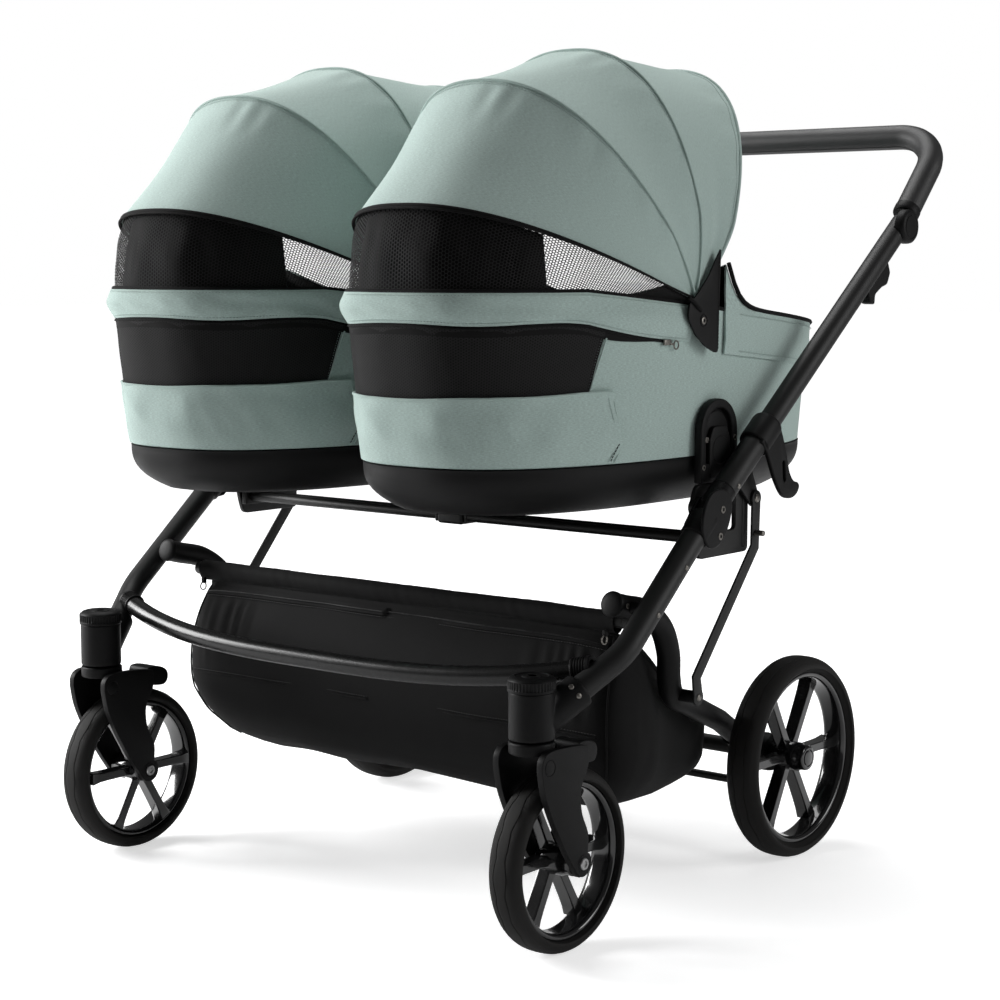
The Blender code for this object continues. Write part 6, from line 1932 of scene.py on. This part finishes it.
def bag_point(share, height):
    """A point of the bag; share runs round it from the right end of its front, height from floor to hem."""
    angle = 2 * math.pi * share
    tuck = read_between(((0.0, 0.075), (0.03, 0.05), (0.08, 0.03), (0.2, 0.012), (0.35, 0.004), (1.0, 0.0)), height)
    depth = (BASKET_BACK - BASKET_FRONT) / 2 - tuck * 0.7
    middle = (BASKET_BACK + BASKET_FRONT) / 2
    y = middle + depth * signed(math.sin(angle), 2 / BASKET_CORNER)
    half = read_between(BASKET_HALVES, y) - tuck
    part = (y - BASKET_FRONT) / (BASKET_BACK - BASKET_FRONT)
    top = BASKET_RAIL[1] - 0.01 + (BASKET_BACK_TOP - BASKET_RAIL[1] + 0.01) * min(1.0, part * 1.35)
    floor = BASKET_FLOOR + (BASKET_FLOOR_FRONT - BASKET_FLOOR) * max(0.0, 1 - 2 * part)
    x = half * signed(math.cos(angle), 2 / BASKET_CORNER)
    z = floor + (top - floor) * height
    front = eased(1.0 - part * 4.0)
    belly = math.sin(math.pi * min(1.0, height * 1.02)) ** 0.8
    y -= belly * (0.036 * front - 0.005 * eased(part * 3 - 2))
    x += math.copysign(0.015 * belly * eased(1.6 - part * 3), x)
    hang = eased((height - 0.1) / 0.3)
    pleat = math.sin(x * 2 * math.pi / 0.0215 + 4.5 * noise.noise(Vector((x * 17, 0.0, 3.0))))
    drop = eased((height - 0.5 - 0.22 * noise.noise(Vector((x * 26, 2.0, 0.0)))) / 0.36)
    size = 0.0016 * (1.0 + 1.1 * noise.noise(Vector((x * 13, 7.0, 0.0))))
    drop *= 1.0 - eased((height - 0.84) / 0.06)
    y -= front * (size * pleat * drop + ripple((x, height * 0.1, 1.0), 9.0, 0.0055) * hang)
    side = eased(part * 4) * eased((1.0 - part) * 6)
    x += math.copysign(side * ripple((y * 1.2, z, 2.0), 16.0, 0.0065) * math.sin(math.pi * height), x)
    y += eased(part * 4 - 3) * ripple((x, z, 5.0), 11.0, 0.005) * math.sin(math.pi * height)
    z += (1.0 - eased(height * 5)) * ripple((x, y, 0.0), 9.0, 0.006)
    return Vector((x, y, z))


def make_basket():
    """Hanging bag on its rail: gathered sleeve, zip, pleated front, seams and a hem cord."""
    heights = (0.0, 0.02, 0.05, 0.08, 0.12, 0.17, 0.23, 0.3, 0.38, 0.46, 0.54, 0.61, 0.68, 0.74, 0.8, 0.85, 0.9, 0.94,
        0.97, 1.0)
    shares = [i % BASKET_COLUMNS / BASKET_COLUMNS for i in range(BASKET_COLUMNS + 1)]
    middle = Vector((0, (BASKET_FRONT + BASKET_BACK) / 2, BASKET_FLOOR + 0.002))
    rows = [[middle.lerp(bag_point(share, 0.0), scale) for share in shares] for scale in (0.0, 0.45, 0.85)]
    for height in heights:
        rows.append([bag_point(share, height) for share in shares])
    bag = net(rows, closed=True)
    if bag.data.polygons[0].normal.z > 0:
        bag.data.flip_normals()
    paint(bag, finish_of("bag"))
    smooth(thicken(bag, 0.0022, -1.0), 60)
    hem = [bag_point(i / BASKET_COLUMNS, 0.994) for i in range(BASKET_COLUMNS)]
    hem = dress(pipe(hem, 0.0031, 10, closed=True), "tape", 60)
    settle(bag, "shopping_bag", "rear_frame", "black_fabric", "basket")

    rows = []
    for j in range(25):
        angle = 2 * math.pi * j / 24
        row = []
        for i in range(261):
            x = -BASKET_RAIL_HALF + 0.012 + (2 * BASKET_RAIL_HALF - 0.024) * i / 260
            gather = 0.0007 * noise.noise(Vector((x * 90 + math.sin(angle) * 0.6, 1, 0)))
            radius = 0.0118 + gather * (0.4 + 0.6 * abs(math.cos(angle))) + ripple((x, angle * 0.02, 2), 14, 0.0012)
            hang = max(0.0, -math.sin(angle)) * 0.0042
            row.append((x, BASKET_RAIL[0] + radius * math.cos(angle), BASKET_RAIL[1]
                + radius * math.sin(angle) - hang))
        rows.append(row)
    sleeve = dress(net(rows, closed=True), "bag", 60)
    rail = dress(rod((-BASKET_RAIL_HALF, *BASKET_RAIL), (BASKET_RAIL_HALF, *BASKET_RAIL), 0.0092), "coat", 40)

    def front_line(z, out, first=-0.352, last=0.352, count=220):
        line = []
        for i in range(count + 1):
            x = first + (last - first) * i / count
            height = (z - BASKET_FLOOR_FRONT) / (BASKET_RAIL[1] - 0.01 - BASKET_FLOOR_FRONT)
            low, high = 0.5, 1.0
            for _ in range(22):
                share = (low + high) / 2
                if bag_point(share, height).x < x:
                    low = share
                else:
                    high = share
            point = bag_point(share, height)
            line.append(Vector((x, point.y - out, point.z)))
        return line

    zip_rows = [front_line(0.356 - 0.003 * k, 0.0022 + 0.0006 * math.sin(math.pi * k / 3)) for k in range(4)]
    zip_tape = paint(net(zip_rows), finish_of("tape"))
    if zip_tape.data.polygons[40].normal.y > 0:
        zip_tape.data.flip_normals()
    smooth(thicken(zip_tape, 0.001, -1.0), 60)
    teeth = dress(pipe(front_line(0.3514, 0.0034), 0.0011, 8), "plastic", 60)
    seam = dress(pipe(front_line(0.238, 0.0003), 0.0012, 8), "bag", 60)
    above = stitches(front_line(0.242, 0.0012, count=160), lambda spot: (0, -1, 0), "dark_thread")
    below = stitches(front_line(0.345, 0.0022, count=160), lambda spot: (0, -1, 0), "dark_thread")
    sides = []
    for way in (-1, 1):
        line = []
        for k in range(30):
            height = 0.06 + 0.92 * k / 29
            share = 0.75 + way * 0.1315
            point = bag_point(share, height)
            line.append(point + Vector((way * 0.0008, -0.0008, 0)))
        sides.append(dress(pipe(line, 0.0013, 8), "tape", 60))
    rings = []
    for way in (-1, 1):
        centre = Vector((way * 0.352, 0.119, 0.353))
        rings.append(dress(spun([(0.0046, -0.0007), (0.006, -0.0007), (0.006, 0.0007), (0.0046, 0.0007)], centre, "X",
            28), "rivet", 35))
        rings.append(dress(block(centre + Vector((-0.003, -0.001, 0.004)), centre + Vector((0.003, 0.004, 0.012)),
            0.0008), "plastic"))
    trim = joined(hem, sleeve, rail, zip_tape, teeth, seam, above, below, *sides, *rings)
    settle(trim, "bag_trim", "rear_frame", "black_fabric")


def front_hub():
    """The front rim's hub, between the fork's blades."""
    hub = FORK_GAP - 0.0006
    return [(0.006, -hub), (0.015, -hub), (0.0168, -hub + 0.002), (0.0168, -hub + 0.008), (0.019, -0.012),
        (0.019, 0.012), (0.0168, hub - 0.008), (0.0168, hub - 0.002), (0.015, hub), (0.006, hub)]


def rear_hub():
    """From the drum to the outer cap with its round button."""
    start = DRUM_OUTER + 0.0006 - REAR_X
    return [(0.006, start), (0.016, start), (0.0175, start + 0.002), (0.0175, -0.013), (0.0195, -0.011),
        (0.0195, 0.011), (0.0172, 0.014), (0.0172, 0.022), (0.0164, 0.024), (0.014, 0.025), (0.0122, 0.025),
        (0.0118, 0.0236), (0.0104, 0.0236), (0.01, 0.0254), (0.006, 0.0262), (0, 0.0262), (0, 0.02), (0.006, 0.02)]


class PRAM_OT_wheels(bpy.types.Operator):
    """Tyres and rims of the four wheels"""
    bl_idname = "pram.wheels"
    bl_label = "Wheels"

    def execute(self, context):
        ends = (("front", (FRONT_X, 0, FRONT_RADIUS), FRONT_TYRE_WIDTH, front_hub()),
            ("rear", (REAR_X, REAR_Y, REAR_RADIUS), REAR_TYRE_WIDTH, rear_hub()))
        for end, centre, width, _ in ends:
            settle_pair(make_tyre(centre, width), "foam_tyre_" + end, end + "_wheel", "tyre_rubber", end + "_tyre")
        for end, centre, _, hub in ends:
            settle_pair(make_rim(centre, hub), "spoked_rim_" + end, end + "_wheel", "gloss_black", end + "_rim")
        return {"FINISHED"}


class PRAM_OT_swivels(bpy.types.Operator):
    """Forks, axles, lock levers and swivel housings"""
    bl_idname = "pram.swivels"
    bl_label = "Swivel units"

    def execute(self, context):
        make_fork()
        make_front_axle()
        make_swivel_lock()
        make_housing()
        return {"FINISHED"}


class PRAM_OT_chassis(bpy.types.Operator):
    """Side tubes, crossbar, hinges and the carrier under the carrycots"""
    bl_idname = "pram.chassis"
    bl_label = "Chassis"

    def execute(self, context):
        make_side_tube()
        make_crossbar()
        make_hinge()
        make_bracket()
        make_carrier_bars()
        return {"FINISHED"}


class PRAM_OT_rear_frame(bpy.types.Operator):
    """Rear legs, axle, brake and struts"""
    bl_idname = "pram.rear_frame"
    bl_label = "Rear frame"

    def execute(self, context):
        make_rear_leg()
        make_rear_axle()
        make_brake()
        make_strut()
        return {"FINISHED"}


class PRAM_OT_upper_frame(bpy.types.Operator):
    """Upper tubes, lock collars and the handle"""
    bl_idname = "pram.upper_frame"
    bl_label = "Upper frame"

    def execute(self, context):
        make_upper_tube()
        make_collar()
        make_handle()
        return {"FINISHED"}


class PRAM_OT_carrycots(bpy.types.Operator):
    """Tubs, cloth walls, bands, windows, mattresses and adapters"""
    bl_idname = "pram.carrycots"
    bl_label = "Carrycots"

    def execute(self, context):
        make_tub()
        make_wall()
        make_band_and_flap()
        make_zip_pull()
        make_mattress()
        make_adapter()
        return {"FINISHED"}


class PRAM_OT_hoods(bpy.types.Operator):
    """Hoods, their bows, zips, vents and the foot covers"""
    bl_idname = "pram.hoods"
    bl_label = "Hoods and foot covers"

    def execute(self, context):
        make_canopy()
        make_bows()
        make_trim()
        make_vent()
        make_hinge_cover()
        make_apron()
        return {"FINISHED"}


class PRAM_OT_basket(bpy.types.Operator):
    """Shopping bag with its sleeve, zip and hem"""
    bl_idname = "pram.basket"
    bl_label = "Basket"

    def execute(self, context):
        make_basket()
        return {"FINISHED"}


class PRAM_OT_stage(bpy.types.Operator):
    """Floor, soft lights and the camera"""
    bl_idname = "pram.stage"
    bl_label = "Stage"

    def execute(self, context):
        bpy.ops.mesh.primitive_grid_add(x_subdivisions=2, y_subdivisions=2, size=60)
        floor = active()
        floor.name = "floor"
        plain_normals(floor)
        finish = Finish("floor", Roughness=0.9)
        rays = finish.tree.nodes.new("ShaderNodeLightPath")
        seen = Signal(finish.tree, rays.outputs["Is Camera Ray"])
        glossy = Signal(finish.tree, rays.outputs["Is Glossy Ray"])
        clear = Signal(finish.tree, rays.outputs["Is Transmission Ray"])
        cloud = finish.grain(finish.place(), 2.0, 2.0)
        finish.feed("Base Color", finish.blend(cloud, (0.86, 0.86, 0.87, 1), (0.92, 0.92, 0.92, 1)))
        glow = seen.most(clear)
        x, y, _ = finish.parts(finish.place())
        far = (x * x + y * y).root()
        haze = finish.node("MapRange", {"interpolation_type": "SMOOTHSTEP"}, {"Value": far, "From Min": 0.9,
            "From Max": 3.2, "To Min": FLOOR_GLOW, "To Max": 1.0})
        light = glow * haze + glossy * FLOOR_GLOSS
        finish.tree.links.new(light.socket, finish.shader.inputs["Emission Color"])
        finish.shader.inputs["Emission Strength"].default_value = 1.0
        paint(floor, finish.material)

        world = bpy.data.worlds.new("studio")
        context.scene.world = world
        world.use_nodes = True
        tree = world.node_tree
        shade = tree.nodes["Background"]
        rays = tree.nodes.new("ShaderNodeLightPath")
        seen = Signal(tree, rays.outputs["Is Camera Ray"])
        clear = Signal(tree, rays.outputs["Is Transmission Ray"])
        bright = seen.most(clear)
        shade.inputs["Color"].default_value = (1.0, 1.0, 1.0, 1)
        strength = bright * (1.0 - WORLD_LIGHT) + WORLD_LIGHT
        tree.links.new(strength.socket, shade.inputs["Strength"])

        for name, place, aim, size, power in LAMPS:
            bpy.ops.object.light_add(type="AREA", location=place)
            lamp = active()
            lamp.name = name
            lamp.data.shape = "RECTANGLE"
            lamp.data.size, lamp.data.size_y = size
            lamp.data.energy = power
            lamp.rotation_euler = (Vector(aim) - Vector(place)).to_track_quat("-Z", "Y").to_euler()

        bpy.ops.object.camera_add(location=CAMERA_PLACE, rotation=[math.radians(turn) for turn in CAMERA_TURN])
        camera = active()
        camera.data.sensor_width = 36.0
        camera.data.lens = CAMERA_LENS
        camera.data.clip_end = 60.0
        context.scene.camera = camera
        context.scene.view_settings.view_transform = "Standard"
        return {"FINISHED"}


CAMERA_PLACE = (1.8918, -2.3452, 0.8089)
CAMERA_TURN = (83.7479, 0.0, 39.0258)
CAMERA_LENS = 78.2
WORLD_LIGHT = 0.1
FLOOR_GLOW = 0.62            # how bright the floor looks at the pram; it rises to 1 far away
FLOOR_GLOSS = 0.12
LAMPS = (("left_light", (-3.1, -1.6, 1.6), (0.0, 0.0, 0.7), (1.6, 1.8), 160.0),
    ("right_light", (3.1, 1.2, 1.5), (0.0, 0.0, 0.6), (1.4, 2.0), 40.0), ("top_light", (-0.8, 0.5, 3.2),
    (0.0, 0.0, 0.7), (2.2, 2.2), 64.0))


class PRAM_PT_panel(bpy.types.Panel):
    """Lists the pram's steps and sizes"""
    bl_idname = "PRAM_PT_panel"
    bl_label = "Twin pram"
    bl_space_type = "VIEW_3D"
    bl_region_type = "UI"
    bl_category = "Pram"

    def draw(self, context):
        for name in PramLook.__annotations__:
            self.layout.prop(context.scene.pram_look, name)
        for step in STEPS:
            self.layout.operator(step.bl_idname)


STEPS = (PRAM_OT_stage, PRAM_OT_wheels, PRAM_OT_swivels, PRAM_OT_chassis, PRAM_OT_rear_frame, PRAM_OT_upper_frame,
    PRAM_OT_carrycots, PRAM_OT_hoods, PRAM_OT_basket)


def register():
    for part in (PramLook, *STEPS, PRAM_PT_panel):
        bpy.utils.register_class(part)
    bpy.types.Scene.pram_look = PointerProperty(type=PramLook)


def unregister():
    del bpy.types.Scene.pram_look
    for part in reversed((PramLook, *STEPS, PRAM_PT_panel)):
        bpy.utils.unregister_class(part)


def main():
    register()
    for step in STEPS:
        group, name = step.bl_idname.split(".")
        getattr(getattr(bpy.ops, group), name)()


if __name__ == "__main__":
    main()
